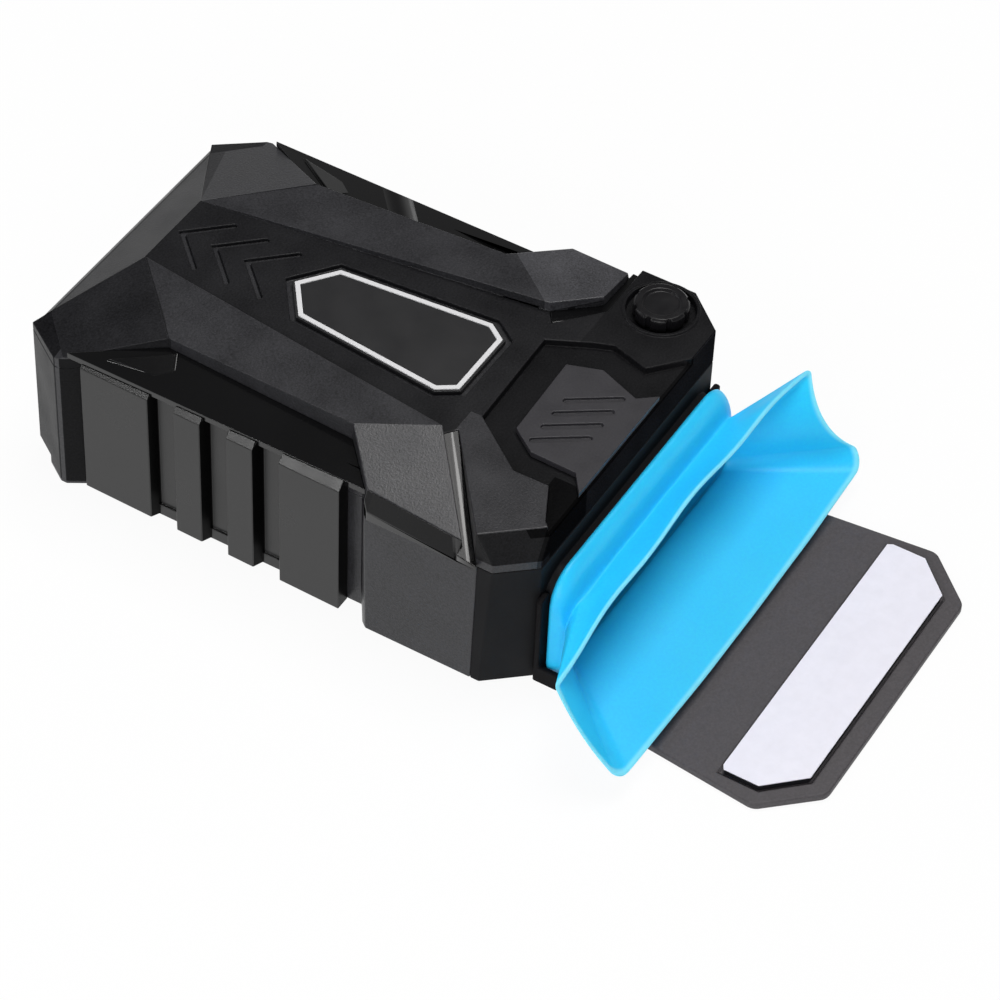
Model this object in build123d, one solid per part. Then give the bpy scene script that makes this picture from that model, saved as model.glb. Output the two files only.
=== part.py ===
from build123d import *
from math import cos, pi, radians, sin
import os

# Laptop cooling fan: a housing with a radial blower draws hot air out of a laptop's vent through a
# soft hood at the front and blows it out at the back. The air mouth faces -Y, the outlet +Y, +Z is up.
# The origin is at the middle of the base. All sizes are in millimetres.

# Housing
foot_height = 2.3
wall = 2.0
deck_height = 40.8
top_shell_depth = 8.4
seam_height = deck_height - top_shell_depth
front_y = -28.0
rear_y = 89.1
front_half_width = 33.0
shoulder_half_width = 40.3
shoulder_front_y = -19.5
shoulder_rear_y = 6.2
shoulder_draft = 1.4
shoulder_return = 1.0
panel_bed_half_width = 35.5
corner_half_width = 37.9
rear_half_width = 31.5
rear_chamfer_y = 79.6
horn_side_length = 1.4
skirt_low = 0.2
skirt_front_y = 69.5
skirt_rear_y = 84.3
skirt_inner_x = 30.0
fit = 0.02
slip = 0.1
past = 1.0

# Facets of the top shell, half widths and places along Y
tail_half_width = 9.8
tail_y = 77.0
wing_rear_half_width = 26.6
wing_rear_y = 60.1
wing_front_half_width = 28.2
wing_front_y = 16.9
wing_tip_half_width = 20.1
wing_tip_y = 2.0
wing_rise = 2.3
horn_drop = 6.7
rear_slope_drop = 5.9
rear_rim_width = 1.8
rear_rim_drop = 2.1
facet_inset = 2.1
facet_half_width = shoulder_half_width - facet_inset
facet_front_y = -13.5
facet_rear_y = 7.4
facet_drop = 4.5
deck_foot_half_width = 17.5
deck_foot_y = 0.0
deck_corner_y = -18.0
corner_slope_rise = 2.0
corner_slope_low = seam_height + corner_slope_rise
corner_slope_inset = 2.6

# Right front corner, where the deck reaches further back for the knob
knob_facet_turn_x = 28.4
knob_facet_front_y = -5.4
knob_facet_drop = 0.2
knob_deck_turn_x = 26.2
knob_deck_rear_y = -7.4

# Side strips and side panels
strip_thickness = 1.5
strip_drop = 2.6
strip_fall = 1.5
strip_inner_height = deck_height - strip_drop
strip_outer_height = strip_inner_height - strip_fall
strip_outer_half_width = 37.1
strip_facet_points = ((31.0, 55.5), (33.7, 59.8), (35.0, 68.6), (27.4, 57.3))
strip_facet_rise = 0.6
panel_half_width = 38.9
panel_taper = 1.1
panel_front_y = 13.2
panel_rear_y = 73.4
panel_wide_front = 13.8
panel_wide_rear = 15.8
panel_rib = 6.0
panel_groove_depth = 3.0
panel_groove_draft = 1.1
panel_bevel_height = 1.9
panel_bevel_width = 1.8
plinth_height = 2.8
plinth_proud = 0.5
fin_groove_depth = 1.6
fin_edge = 0.4

# Badge, chevrons, relief and trims on the deck
badge_rear_y = 48.9
badge_shoulder_y = 42.7
badge_rear_half_width = 8.2
badge_front_half_width = 11.3
badge_waist_y = 9.3
badge_front_y = 5.0
badge_tip_half_width = 8.3
badge_margin = 0.5
badge_line = 1.0
badge_line_proud = 0.2
badge_plate_thickness = 1.0
badge_gap = 1.2
chevron_count = 3
chevron_rear_y = 74.8
chevron_pitch = 7.7
chevron_half_width = 7.2
chevron_length = 7.6
chevron_width = 1.1
chevron_depth = 0.8
channel_depth = 1.6
channel_half_width_left = 32.0
channel_half_width_right = 23.8
channel_points = ((-29.1, -26.0), (-20.9, -21.9), (-21.1, -14.3), (-12.0, -2.0), (12.7, -1.2),
                  (17.0, -9.5), (18.6, -13.4), (16.3, -21.7))
relief_points = ((-15.1, -24.3), (-14.9, -14.4), (-10.9, -8.8), (9.3, -8.0), (11.8, -14.9), (8.4, -24.0))
relief_left_x = -19.5
relief_right_x = 11.4
relief_front_gap = 0.4
relief_drop = 0.3
relief_slot_count = 4
relief_slot_width = 1.3
relief_slot_length = 12.0
relief_slot_pitch = 4.2
relief_slot_depth = 0.6
relief_slot_angle = 35.0
relief_middle = (-2.6, -17.5)

# Speed knob, its potentiometer and the board
knob_inset = 8.0
knob_x = shoulder_half_width - knob_inset
knob_y = -16.1
knob_radius = 5.6
knob_dish_radius = 3.9
knob_height = 3.0
knob_dish_depth = 0.5
knob_dish_taper = 0.5
knob_notches = 8
knob_notch_radius = 0.55
knob_well_radius = 7.0
knob_well_depth = 1.2
knob_rim_width = 0.8
knob_rim_height = 0.4
knob_gap = 0.4
knob_shaft_radius = 2.0
knob_flat = 0.6
knob_bevel = 0.5
knob_skin = 0.6
pot_radius = 4.2
pot_height = 3.6
pot_floor = 0.5
pot_clearance = 0.05
board_drop = 5.4
board_height = seam_height - board_drop
board_thickness = 1.6
board_left_x = 18.5
board_side_gap = 1.7
board_right_x = shoulder_half_width - wall - board_side_gap
board_rear_y = -4.0
board_front_y = -21.0
board_clip = 2.2
board_screw_radius = 1.0
board_screw_length = 5.6
board_screw_head_radius = 1.9
board_screw_head = 1.2
board_screw_inset = 2.8
board_boss_radius = 2.4
board_part_inset = 8.0
socket_width = 7.0
socket_recess = 1.4
socket_length = 10.0
socket_height = 6.0
socket_bore_depth = 7.0
socket_y = -7.6
socket_bore_radius = 2.2
socket_pin_radius = 0.7
socket_pin_recess = 1.0
chip_inset = 7.0
chip_y = -10.5
chip_length = 6.0
chip_width = 4.0
chip_thickness = 1.5
capacitor_radius = 2.5
capacitor_height = 7.0
capacitor_bevel = 0.4

# Front bezel with its spigot, and the soft hood
bezel_rear_y = -17.5
spigot_half_width = 31.0
spigot_low = 5.2
spigot_drop = 5.2
spigot_high = seam_height - spigot_drop
spigot_wall = 1.5
spigot_length = 2.7
spigot_top_radius = 4.8
spigot_bottom_radius = 2.2
collar_depth = 1.5
collar_rim = 0.6
hood_wall = 1.3
hood_neck_steps = 3
hood_bulge = 1.1
hood_bulge_y = -30.3
hood_waist_y = -33.6
hood_waist_top = 5.8
hood_waist_side = 0.2
hood_waist_bottom = 2.8
hood_lip_half_width = 50.0
hood_lip_top_y = -40.8
hood_lip_drop = 3.6
hood_lip_top_z = spigot_high - hood_lip_drop
hood_lip_bottom_y = -55.6
hood_lip_bottom_z = 4.7
hood_lip_crown = 2.4
hood_lip_hollow_far = 3.6
hood_lip_hollow_near = -0.9
hood_lip_sag = 1.0
hood_top_corner = 1.6
hood_bottom_corner = 4.0

# Support bracket with its adhesive pad
plate_thickness = 1.8
plate_front_y = -89.0
plate_shoulder_y = -78.3
plate_half_width = 38.4
plate_tip_half_width = 28.6
plate_neck_half_width = 34.1
plate_neck_y = -36.5
plate_root_half_width = 31.6
plate_root_length = 4.0
plate_corner = 3.0
arm_width = 3.2
arm_thickness = 1.25
arm_drop = 1.7
arm_height = spigot_high - arm_drop
arm_round = 1.0
gusset_low = 2.9
gusset_high = 7.2
gusset_width = 1.1
gusset_length = 5.6
pad_half_width = 34.6
pad_rear_y = -69.3
pad_shoulder_y = -77.4
pad_front_y = -84.7
pad_tip_half_width = 27.6
pad_bed_depth = 0.5
pad_bed_margin = 0.4
pad_foam_thickness = 1.4
pad_liner_thickness = 0.25

# Blower
fan_y = 43.0
fan_base = 7.3
fan_top_rise = 0.1
fan_top = seam_height + fan_top_rise
fan_wall = 1.5
fan_outlet_y = 76.0
scroll_start_radius = 26.8
scroll_radii = (28.0, 29.5, 30.0)
fan_inlet_radius = 18.0
ear_reach = 35.5
fan_ear_radius = 3.6
fan_ear_web = 8.0
fan_ear_angles = (135, 225, 315)
fan_hole_radius = 1.6
fan_screw_radius = 1.4
fan_screw_head_radius = 2.7
fan_screw_head = 1.6
fan_screw_bite = 4.0
fan_inlet_bevel = 0.8
impeller_radius = 25.0
impeller_gap = 1.5
impeller_lift = 0.6
blade_count = 25
blade_inner_radius = 15.5
blade_thickness = 0.9
blade_sweep = 24.0
blade_bend = 0.3
hub_radius = 12.2
hub_wall = 1.2
hub_height = 12.0
hub_boss = 1.5
wheel_plate_inset = 1.0
magnet_thickness = 1.1
magnet_lift = 0.5
motor_gap = 0.5
stator_poles = 4
stator_pole_width = 3.0
stator_shoe_width = 8.4
stator_shoe_thickness = 1.2
stator_height = 4.0
stator_lift = 1.6
stator_hub_radius = 5.0
coil_thickness = 1.2
coil_gap = 0.2
coil_round = 0.9 * coil_thickness
bearing_radius = 2.5
bearing_tube_wall = 1.0
bearing_tube_height = 10.0
bearing_floor = 0.8
thrust_disc = 0.2
bearing_clearance = 0.03
fan_shaft_radius = 1.0
fan_shaft_boss = 1.2
fan_shaft_skin = 0.6
motor_board_thickness = 0.8

# Case screws, rear grille and feet
case_screw_radius = 1.4
case_screw_head_radius = 2.6
case_screw_head = 2.0
case_boss_radius = 4.0
case_boss_drop = 4.4
case_boss_top = seam_height - case_boss_drop
case_boss_web = 4.0
case_screw_bite = 0.5
case_boss_inset = 6.7
case_boss_front = (shoulder_half_width - case_boss_inset, 2.6)
case_boss_rear = (31.4, 80.8)
top_boss_radius = 3.0
grille_half_width = 27.0
grille_low = 7.0
grille_drop = 4.4
grille_high = seam_height - grille_drop
grille_frame = 1.6
grille_recess = 0.3
grille_slats = 6
grille_slat_thickness = 1.2
foot_radius = 4.5
foot_bevel = 0.4
foot_front = (30.0, -8.0)
foot_rear = (28.0, 76.0)

base = foot_height
floor_top = base + wall
rotor_low = fan_base + fan_wall + impeller_gap + impeller_lift
rotor_high = fan_top - fan_wall - impeller_gap
hub_top = rotor_low + hub_height

# Reach of the cutting blocks, past every piece
TALL = 1.5 * deck_height
WIDE = 3 * rear_y


def joined(right, left):
    """A plan outline from the points of its right half and of its left half, mirrored."""
    return right + [(-x, y) for x, y in reversed(left)]


def both(points):
    """A plan outline across the middle line from the points of its right half."""
    return joined(points, points)


def plan(points):
    """A flat face on the ground plane."""
    return make_face(Polyline(*points, close=True))


def rise(shape, low, high):
    """A plan shape as a solid between two heights."""
    return Pos(0, 0, low) * extrude(shape, high - low, dir=(0, 0, 1))


def prism(points, low, high):
    """An upright prism on a plan outline."""
    return rise(plan(points), low, high)


def over(first, second, third):
    """The block of space above the plane through three points."""
    first, second, third = Vector(*first), Vector(*second), Vector(*third)
    normal = (second - first).cross(third - first)
    if normal.Z < 0:
        normal = normal * -1
    plane = Plane(origin=first, x_dir=second - first, z_dir=normal)
    return plane * Box(WIDE, WIDE, TALL, align=(Align.CENTER, Align.CENTER, Align.MIN))


def pair(shape):
    """A shape with its mirror image across the middle line."""
    return shape + mirror(shape, about=Plane.YZ)


def cylinder(x, y, radius, low, high):
    return Pos(x, y, low) * Cylinder(radius, high - low, align=(Align.CENTER, Align.CENTER, Align.MIN))


def block(x, y, z):
    """A box from three pairs of limits."""
    size = (x[1] - x[0], y[1] - y[0], z[1] - z[0])
    return Pos(x[0], y[0], z[0]) * Box(*size, align=(Align.MIN, Align.MIN, Align.MIN))


def outline():
    """Plan of the housing: front shoulders, side panel beds and chamfered rear corners."""
    right = [
        (front_half_width, front_y),
        (shoulder_half_width, shoulder_front_y),
        (shoulder_half_width, shoulder_rear_y),
        (shoulder_half_width - shoulder_return, facet_rear_y),
        (panel_bed_half_width, bed_front_y()),
        (panel_bed_half_width, bed_rear_y()),
        (corner_half_width, horn_outer_y()),
        (corner_half_width, rear_chamfer_y),
        (rear_half_width, rear_y),
    ]
    return both(right)


def along(start, end, x):
    """Where a plan line reaches a given X."""
    share = (x - start[0]) / (end[0] - start[0])
    return start[1] + share * (end[1] - start[1])


def horn_outer_y():
    return rear_chamfer_y - horn_side_length


def wing_rear():
    return wing_rear_half_width, wing_rear_y


def wing_front():
    return wing_front_half_width, wing_front_y


def wing_tip():
    return wing_tip_half_width, wing_tip_y


def facet_rear():
    return facet_half_width, facet_rear_y


def bed_front_y():
    return along(wing_front(), facet_rear(), panel_bed_half_width)


def bed_rear_y():
    return along(wing_rear(), (corner_half_width, horn_outer_y()), panel_bed_half_width)


def inner_outline(inset):
    return offset(plan(outline()), amount=-inset, kind=Kind.INTERSECTION)


def shoulder_trim():
    """What the left shoulder's draft and corner slope take off. The knob's side stands upright."""
    low = (shoulder_half_width, 0, base)
    high = (shoulder_half_width - shoulder_draft, 0, deck_height)
    fall = (shoulder_half_width, 1, base)
    corner = Vector(front_half_width, front_y, corner_slope_low)
    shoulder = Vector(shoulder_half_width, shoulder_front_y, corner_slope_low)
    inward = (shoulder - corner).cross(Vector(0, 0, -1)).normalized() * corner_slope_inset
    top = corner + inward + Vector(0, 0, deck_height - corner_slope_low)
    return left(over(low, high, fall)) + left(over(corner, shoulder, top))


def wing_plane(drop):
    tail = (tail_half_width, tail_y, deck_height - drop)
    tip = (wing_tip_half_width, wing_tip_y, deck_height + wing_rise - drop)
    rear = (wing_rear_half_width, wing_rear_y, deck_height - drop + slip)
    return tail, tip, rear


def height_on(points, x, y):
    """Height of the plane through three points at a place in plan."""
    first, second, third = (Vector(*point) for point in points)
    normal = (second - first).cross(third - first)
    return first.Z - (normal.X * (x - first.X) + normal.Y * (y - first.Y)) / normal.Z


def facet_edge(knob_side):
    """Front edge of a front facet in plan, from the wing's tip outwards."""
    if knob_side:
        return [(knob_facet_turn_x, knob_facet_front_y), (facet_half_width, knob_facet_front_y)]
    return [(facet_half_width, facet_front_y)]


def deck_edge(knob_side):
    """Rear edge of the deck before a front facet in plan, from outside inwards."""
    if knob_side:
        return [(shoulder_half_width, knob_deck_rear_y), (knob_deck_turn_x, knob_deck_rear_y)]
    return [(shoulder_half_width, deck_corner_y)]


def facet_plane(knob_side):
    """Three points of a front facet: at the wing's front corner, at its tip and at the outer corner."""
    wing = wing_plane(0)
    corner_z = deck_height - (knob_facet_drop if knob_side else facet_drop)
    return (
        (*wing_front(), height_on(wing, *wing_front())),
        (*wing_tip(), height_on(wing, *wing_tip())),
        (*facet_edge(knob_side)[-1], corner_z),
    )


def lowered(points, drop):
    return [(x, y, z - drop) for x, y, z in points]


def top_form(drop):
    """Solid under the facets of the top shell, with every facet lowered by drop."""
    low = seam_height
    tail = (tail_half_width, tail_y)
    horn_rear = (rear_half_width, rear_y)
    horn_outer = (corner_half_width, horn_outer_y())
    deck = prism(joined(deck_half(True), deck_half(False)), low, deck_height - drop)

    wing = prism([tail, wing_tip(), wing_front(), wing_rear()], low, TALL)
    wing = wing - over(*wing_plane(drop))
    facets = front_facet(True, drop) + left(front_facet(False, drop))

    horn_side = (corner_half_width, rear_chamfer_y)
    horn = prism([tail, wing_rear(), horn_outer, horn_side, horn_rear], low, TALL)
    horn_points = [(*tail, deck_height), (*wing_rear(), deck_height), (*horn_rear, deck_height - horn_drop)]
    horn = horn - over(*lowered(horn_points, drop))

    slope = prism(both([horn_rear, tail]), low, TALL)
    crease = (0, rear_y - rear_rim_width, deck_height - rear_slope_drop)
    slope_points = [(tail_half_width, tail_y, deck_height), (-tail_half_width, tail_y, deck_height), crease]
    rim_points = [crease, (tail_half_width, *crease[1:]), (0, rear_y, crease[2] - rear_rim_drop)]
    slope = slope - over(*lowered(slope_points, drop)) - over(*lowered(rim_points, drop))

    bed = prism(bed_outline(), low, TALL)
    bed = bed - over(*lowered(strip_points(), drop + strip_thickness))
    return deck + slope + pair(wing) + facets + pair(horn) + pair(bed)


def deck_half(knob_side):
    """Right half of the deck's plan, from the front corner to the tail."""
    return [(front_half_width, front_y), (shoulder_half_width, shoulder_front_y), *deck_edge(knob_side),
            (deck_foot_half_width, deck_foot_y), wing_tip(), wing_front(), wing_rear(),
            (tail_half_width, tail_y)]


def front_facet(knob_side, drop):
    """Solid under a front facet that is lowered by drop, on the right side."""
    facet = prism([wing_front(), wing_tip(), *facet_edge(knob_side), facet_rear()], seam_height, TALL)
    return facet - over(*lowered(facet_plane(knob_side), drop))


def bed_outline():
    outer = panel_bed_half_width
    return [wing_rear(), wing_front(), (outer, bed_front_y()), (outer, bed_rear_y())]


def fin_outlines(knob_side):
    """Plans of a fin's groove and of its bevel, as on the right side."""
    outer = shoulder_half_width
    facet_front = facet_edge(knob_side)[-1]
    groove = [wing_tip(), *facet_edge(knob_side), (outer, facet_front[1]), *deck_edge(knob_side),
              (deck_foot_half_width, deck_foot_y)]
    bevel = [facet_front, facet_rear(), (outer - shoulder_return, facet_rear_y), (outer, shoulder_rear_y),
             (outer, facet_front[1])]
    return groove, bevel


def step_walls(knob_side):
    """Walls inside the top shell along the steps beside a strip and a fin, as on the right side."""
    beside_bed = rise(grown(plan(bed_outline()), wall), seam_height, TALL)
    walls = beside_bed & over(*lowered(strip_points(), strip_thickness + wall))
    for points in fin_outlines(knob_side):
        walls += rise(grown(plan(points), wall), seam_height, TALL)
    return walls


def strip_points():
    inner, outer = wing_front_half_width, strip_outer_half_width
    return [(inner, wing_front_y, strip_inner_height), (inner, wing_rear_y, strip_inner_height),
            (outer, wing_front_y, strip_outer_height)]


def badge_outline():
    right = [(badge_tip_half_width, badge_front_y), (badge_front_half_width, badge_waist_y),
             (badge_rear_half_width, badge_shoulder_y), (0, badge_rear_y)]
    mirrored = [(-x, y) for x, y in reversed(right[:-1])]
    return plan(right + mirrored)


def grown(face, amount):
    return offset(face, amount=amount, kind=Kind.INTERSECTION)


def chevrons():
    """Arrow-shaped grooves behind the badge."""
    cuts = []
    for index in range(chevron_count):
        apex_y = chevron_rear_y - index * chevron_pitch
        arm = Polyline((-chevron_half_width, apex_y - chevron_length), (0, apex_y),
                       (chevron_half_width, apex_y - chevron_length))
        line = offset(arm, amount=chevron_width / 2, kind=Kind.INTERSECTION)
        cuts.append(rise(make_face(line.edges()), deck_height - chevron_depth, TALL))
    return cuts


def channel_outline():
    """Outer edge of the black channel round the relief, open at the front."""
    return [(-channel_half_width_left, front_y - past), *channel_points, (channel_half_width_right, front_y),
            (channel_half_width_right, front_y - past)]


def relief_outline():
    front = front_y + relief_front_gap
    return [(relief_left_x, front), *relief_points, (relief_right_x, front)]


def top_shell():
    """Faceted upper casing, hollow, with its pockets and screw bosses."""
    outer = top_form(0) - shoulder_trim()
    hollow = top_form(wall) & rise(inner_outline(wall), seam_height, TALL)
    hollow -= step_walls(True) + left(step_walls(False))
    shell = outer - hollow
    shell -= chevrons()
    shell -= rise(grown(badge_outline(), badge_gap), deck_height - badge_plate_thickness, TALL)
    shell -= prism(channel_outline(), deck_height - channel_depth, TALL)
    rim_radius = knob_well_radius + knob_rim_width
    shell += cylinder(knob_x, knob_y, rim_radius, deck_height - wall, deck_height + knob_rim_height)
    shell -= cylinder(knob_x, knob_y, knob_well_radius, deck_height - knob_well_depth, TALL)
    roof = deck_height - wall
    for x, y in board_screw_places():
        shell += cylinder(x, y, board_boss_radius, board_height + board_thickness, roof)
        shell -= cylinder(x, y, board_screw_radius + fit, board_height, roof - past)
    for x, y in (case_boss_front, case_boss_rear):
        room = rise(inner_outline(wall + slip), case_boss_top, seam_height) + outer
        shell += pair(cylinder(x, y, top_boss_radius, case_boss_top, TALL)) & room
        shell -= pair(cylinder(x, y, case_screw_radius + fit, case_boss_top, seam_height + past))
    shell -= cylinder(knob_x, knob_y, knob_shaft_radius + knob_gap, seam_height, TALL)
    return shell


def board_screw_places():
    x = board_left_x + board_screw_inset
    return [(x, board_front_y + board_screw_inset), (x, board_rear_y - board_screw_inset)]


def bezel_zone():
    """The wall that the front bezel takes from the housing."""
    ring = rise(plan(outline()) - inner_outline(wall), base, seam_height)
    return ring & block((-WIDE, WIDE), (-WIDE, bezel_rear_y), (0, TALL))


def mouth_edges(half_width, low, high, top_radius, bottom_radius, crown=0, near=0, far=0, sag=0):
    """Closed outline: crowned top, sides drawn in by near and far, sagging bottom, round corners."""
    quarter = 1 - cos(pi / 4)
    top_cut = top_radius * quarter
    bottom_cut = bottom_radius * quarter
    top_inner = half_width - top_radius
    bottom_inner = half_width - bottom_radius
    side_high = high - top_radius
    side_low = low + bottom_radius
    middle = (low + high) / 2

    def side(start, mid, end, bend):
        return ThreePointArc(start, mid, end) if bend else Line(start, end)

    return [
        side((-top_inner, high), (0, high + crown), (top_inner, high), crown),
        ThreePointArc((top_inner, high), (half_width - top_cut, high - top_cut), (half_width, side_high)),
        side((half_width, side_high), (half_width - far, middle), (half_width, side_low), far),
        ThreePointArc((half_width, side_low), (half_width - bottom_cut, low + bottom_cut),
                      (bottom_inner, low)),
        side((bottom_inner, low), (0, low - sag), (-bottom_inner, low), sag),
        ThreePointArc((-bottom_inner, low), (bottom_cut - half_width, low + bottom_cut),
                      (-half_width, side_low)),
        side((-half_width, side_low), (near - half_width, middle), (-half_width, side_high), near),
        ThreePointArc((-half_width, side_high), (top_cut - half_width, high - top_cut), (-top_inner, high)),
    ]


def mouth_face(y, grow, rise_low=0.0, drop_high=0.0, widen=0.0):
    """Section of the mouth square to Y: the spigot's outside, grown all round, with its top lowered."""
    plane = Plane(origin=(0, y, 0), x_dir=(1, 0, 0), z_dir=(0, -1, 0))
    return plane * make_face(mouth_edges(
        spigot_half_width + grow + widen, spigot_low - grow + rise_low, spigot_high + grow - drop_high,
        spigot_top_radius + grow, spigot_bottom_radius + grow))


def front_bezel():
    """Front frame round the air mouth with the spigot that holds the hood."""
    bezel = bezel_zone() - shoulder_trim()
    bezel += extrude(mouth_face(front_y, 0), spigot_length)
    bezel += extrude(mouth_face(front_y, collar_rim), collar_depth)
    bezel -= extrude(mouth_face(front_y, -spigot_wall), spigot_length)
    bezel -= extrude(mouth_face(front_y, -spigot_wall), -(wall + past))
    return bezel


def bottom_shell():
    """Lower casing: floor, side walls, rear wall, bosses and guides for the bracket legs."""
    tub = rise(plan(outline()), base, seam_height) - rise(inner_outline(wall), floor_top, seam_height)
    tub -= bezel_zone()
    tub -= shoulder_trim()
    tub += rear_skirts()
    rear = (rear_y - wall - past, rear_y + past)
    tub -= block((-grille_half_width, grille_half_width), rear, (grille_low, grille_high))
    for x, y in (case_boss_front, case_boss_rear):
        tub += pair(cylinder(x, y, case_boss_radius, floor_top, case_boss_top))
        tub -= pair(cylinder(x, y, case_screw_head_radius + slip, 0, case_boss_top - case_boss_web))
        tub -= pair(cylinder(x, y, case_screw_radius + slip, 0, TALL))
    for x, y in fan_ears():
        tub += cylinder(x, y, fan_ear_radius, floor_top, fan_base)
        tub -= cylinder(x, y, fan_screw_radius + fit, fan_base - fan_screw_bite, TALL)
    tub -= socket_hole()
    return tub


def rear_skirts():
    """Low walls under the rear corners, a little clear of the ground."""
    wall_ring = rise(plan(outline()) - inner_outline(wall), skirt_low, base)
    return wall_ring & pair(block((skirt_inner_x, WIDE), (skirt_front_y, skirt_rear_y), (skirt_low, base)))


def socket_hole():
    """Opening in the right side wall for the power socket."""
    half = socket_width / 2 + slip
    return block((shoulder_half_width - 2 * wall, WIDE), (socket_y - half, socket_y + half),
                 (board_height - socket_height - slip, board_height + slip))


def side_panel():
    """Ribbed side panel of the right side."""
    back = panel_bed_half_width
    floor = panel_half_width - panel_groove_depth
    slope = panel_taper / (panel_rear_y - panel_front_y)

    def face_x(y):
        return panel_half_width - slope * (y - panel_front_y)

    free = panel_rear_y - panel_front_y - panel_wide_front - panel_wide_rear - 2 * panel_rib
    groove = free / 3
    edges = [panel_front_y, panel_front_y + panel_wide_front]
    for _ in range(2):
        edges += [edges[-1] + groove, edges[-1] + groove + panel_rib]
    edges += [edges[-1] + groove, panel_rear_y]
    points = [(back, panel_front_y)]
    for start, end in zip(edges[0::2], edges[1::2]):
        draft = panel_groove_draft if start > panel_front_y else 0
        points += [(floor, start - draft)] if draft else []
        points += [(face_x(start), start), (face_x(end), end)]
        points += [(floor, end)] if end < panel_rear_y else []
    points.append((back, panel_rear_y))
    top = strip_outer_height
    panel = prism(points, base, top)
    bevel_low = top - panel_bevel_height
    panel -= over((panel_half_width, panel_front_y, bevel_low),
                  (panel_half_width - panel_taper, panel_rear_y, bevel_low),
                  (panel_half_width - panel_bevel_width, panel_front_y, top))
    plinth = (panel_front_y + panel_wide_front / 2, panel_rear_y - panel_wide_rear / 2)
    panel += block((back, floor + plinth_proud), plinth, (base, base + plinth_height))
    strip_low = strip_outer_height - strip_thickness
    panel -= block((back - past, strip_outer_half_width + fit), (0, rear_y), (strip_low, TALL))
    return panel


def side_strip():
    """Glossy sloping strip between side panel and top shell, right side."""
    outer_x = strip_outer_half_width
    front = (outer_x, along(wing_front(), facet_rear(), outer_x))
    rear = (outer_x, along(wing_rear(), (corner_half_width, horn_outer_y()), outer_x))
    strip = prism([wing_rear(), wing_front(), front, rear], seam_height, TALL)
    strip -= over(*strip_points())
    strip += strip_facet()
    bed_end = prism(bed_outline(), seam_height, TALL)
    bed_end -= over(*lowered(strip_points(), strip_thickness))
    strip -= bed_end
    strip -= block((panel_bed_half_width, WIDE), (0, rear_y), (0, strip_outer_height - strip_thickness))
    return strip


def strip_facet():
    """Low wedge on the strip's rear end."""
    front, side, rear, _ = ((x, y, height_on(strip_points(), x, y)) for x, y in strip_facet_points)
    wedge = prism(strip_facet_points, strip_outer_height - strip_thickness / 2, TALL)
    return wedge - over(front, side, (*rear[:2], rear[2] + strip_facet_rise))


def corner_fin(knob_side):
    """Glossy trim round a front facet: a hollowed groove and a bevel along the shoulder."""
    groove_points, bevel_points = fin_outlines(knob_side)
    front_x, front_place, corner_z = facet_plane(knob_side)[-1]
    tip = (*wing_tip(), deck_height)
    foot = (deck_foot_half_width, deck_foot_y, deck_height)
    rear = (*facet_rear(), height_on(facet_plane(knob_side), *facet_rear()) - slip)
    groove = prism(groove_points, seam_height, TALL)
    groove -= over(tip, foot, (front_x, front_place, corner_z - fin_groove_depth))
    bevel = prism(bevel_points, seam_height, TALL)
    bevel -= over((front_x, front_place, corner_z), rear,
                  (shoulder_half_width, front_place, seam_height + fin_edge))
    fin = groove + bevel - shoulder_trim()
    hollow = Pos(0, 0, -wall) * (groove + bevel) & rise(inner_outline(wall), 0, TALL)
    return fin - hollow


def relief_inlay():
    """Raised island in the channel, with plain slanted slots."""
    island = prism(relief_outline(), deck_height - channel_depth, deck_height - relief_drop)
    for index in range(relief_slot_count):
        shift = (index - (relief_slot_count - 1) / 2) * relief_slot_pitch
        place = Pos(relief_middle[0] + shift, relief_middle[1], deck_height - relief_drop - relief_slot_depth)
        slot = extrude(SlotOverall(relief_slot_length, relief_slot_width), relief_slot_depth + past)
        island -= place * Rot(0, 0, 90 + relief_slot_angle) * slot
    return island


def badge_plate():
    plate = rise(badge_outline(), deck_height - badge_plate_thickness, deck_height)
    return plate - badge_groove()


def badge_ring():
    outer = grown(badge_outline(), -badge_margin)
    return outer - grown(badge_outline(), -badge_margin - badge_line)


def badge_groove():
    return rise(badge_ring(), deck_height - badge_line_proud, deck_height + past)


def badge_border():
    """Pale line let into the badge."""
    return rise(badge_ring(), deck_height - badge_line_proud, deck_height + badge_line_proud)


def speed_knob():
    """Notched knob with a shallow dish, on the flatted end of its shaft."""
    low = deck_height - knob_well_depth + knob_gap
    high = low + knob_height
    knob = cylinder(knob_x, knob_y, knob_radius, low, high)
    rim = knob.edges().filter_by(GeomType.CIRCLE).sort_by(Axis.Z)[-1]
    knob = chamfer(rim, knob_bevel)
    knob -= Pos(knob_x, knob_y, high) * Cone(
        knob_dish_radius - knob_dish_taper, knob_dish_radius, knob_dish_depth,
        align=(Align.CENTER, Align.CENTER, Align.MAX))
    for index in range(knob_notches):
        angle = 2 * pi * index / knob_notches
        x = knob_x + knob_radius * cos(angle)
        y = knob_y + knob_radius * sin(angle)
        knob -= cylinder(x, y, knob_notch_radius, low, high)
    return knob - shaft_form(0, low, shaft_top())


def shaft_top():
    return deck_height - knob_well_depth + knob_gap + knob_height - knob_dish_depth - knob_skin


def shaft_form(grow, low, high):
    shaft = cylinder(knob_x, knob_y, knob_shaft_radius + grow, low, high)
    flat_low = deck_height - knob_well_depth
    flat = block((knob_x + knob_shaft_radius + grow - knob_flat, WIDE), (-WIDE, WIDE), (flat_low, TALL))
    return shaft - flat


def knob_shaft():
    return shaft_form(0, board_height + board_thickness + pot_floor + slip, shaft_top())


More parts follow.
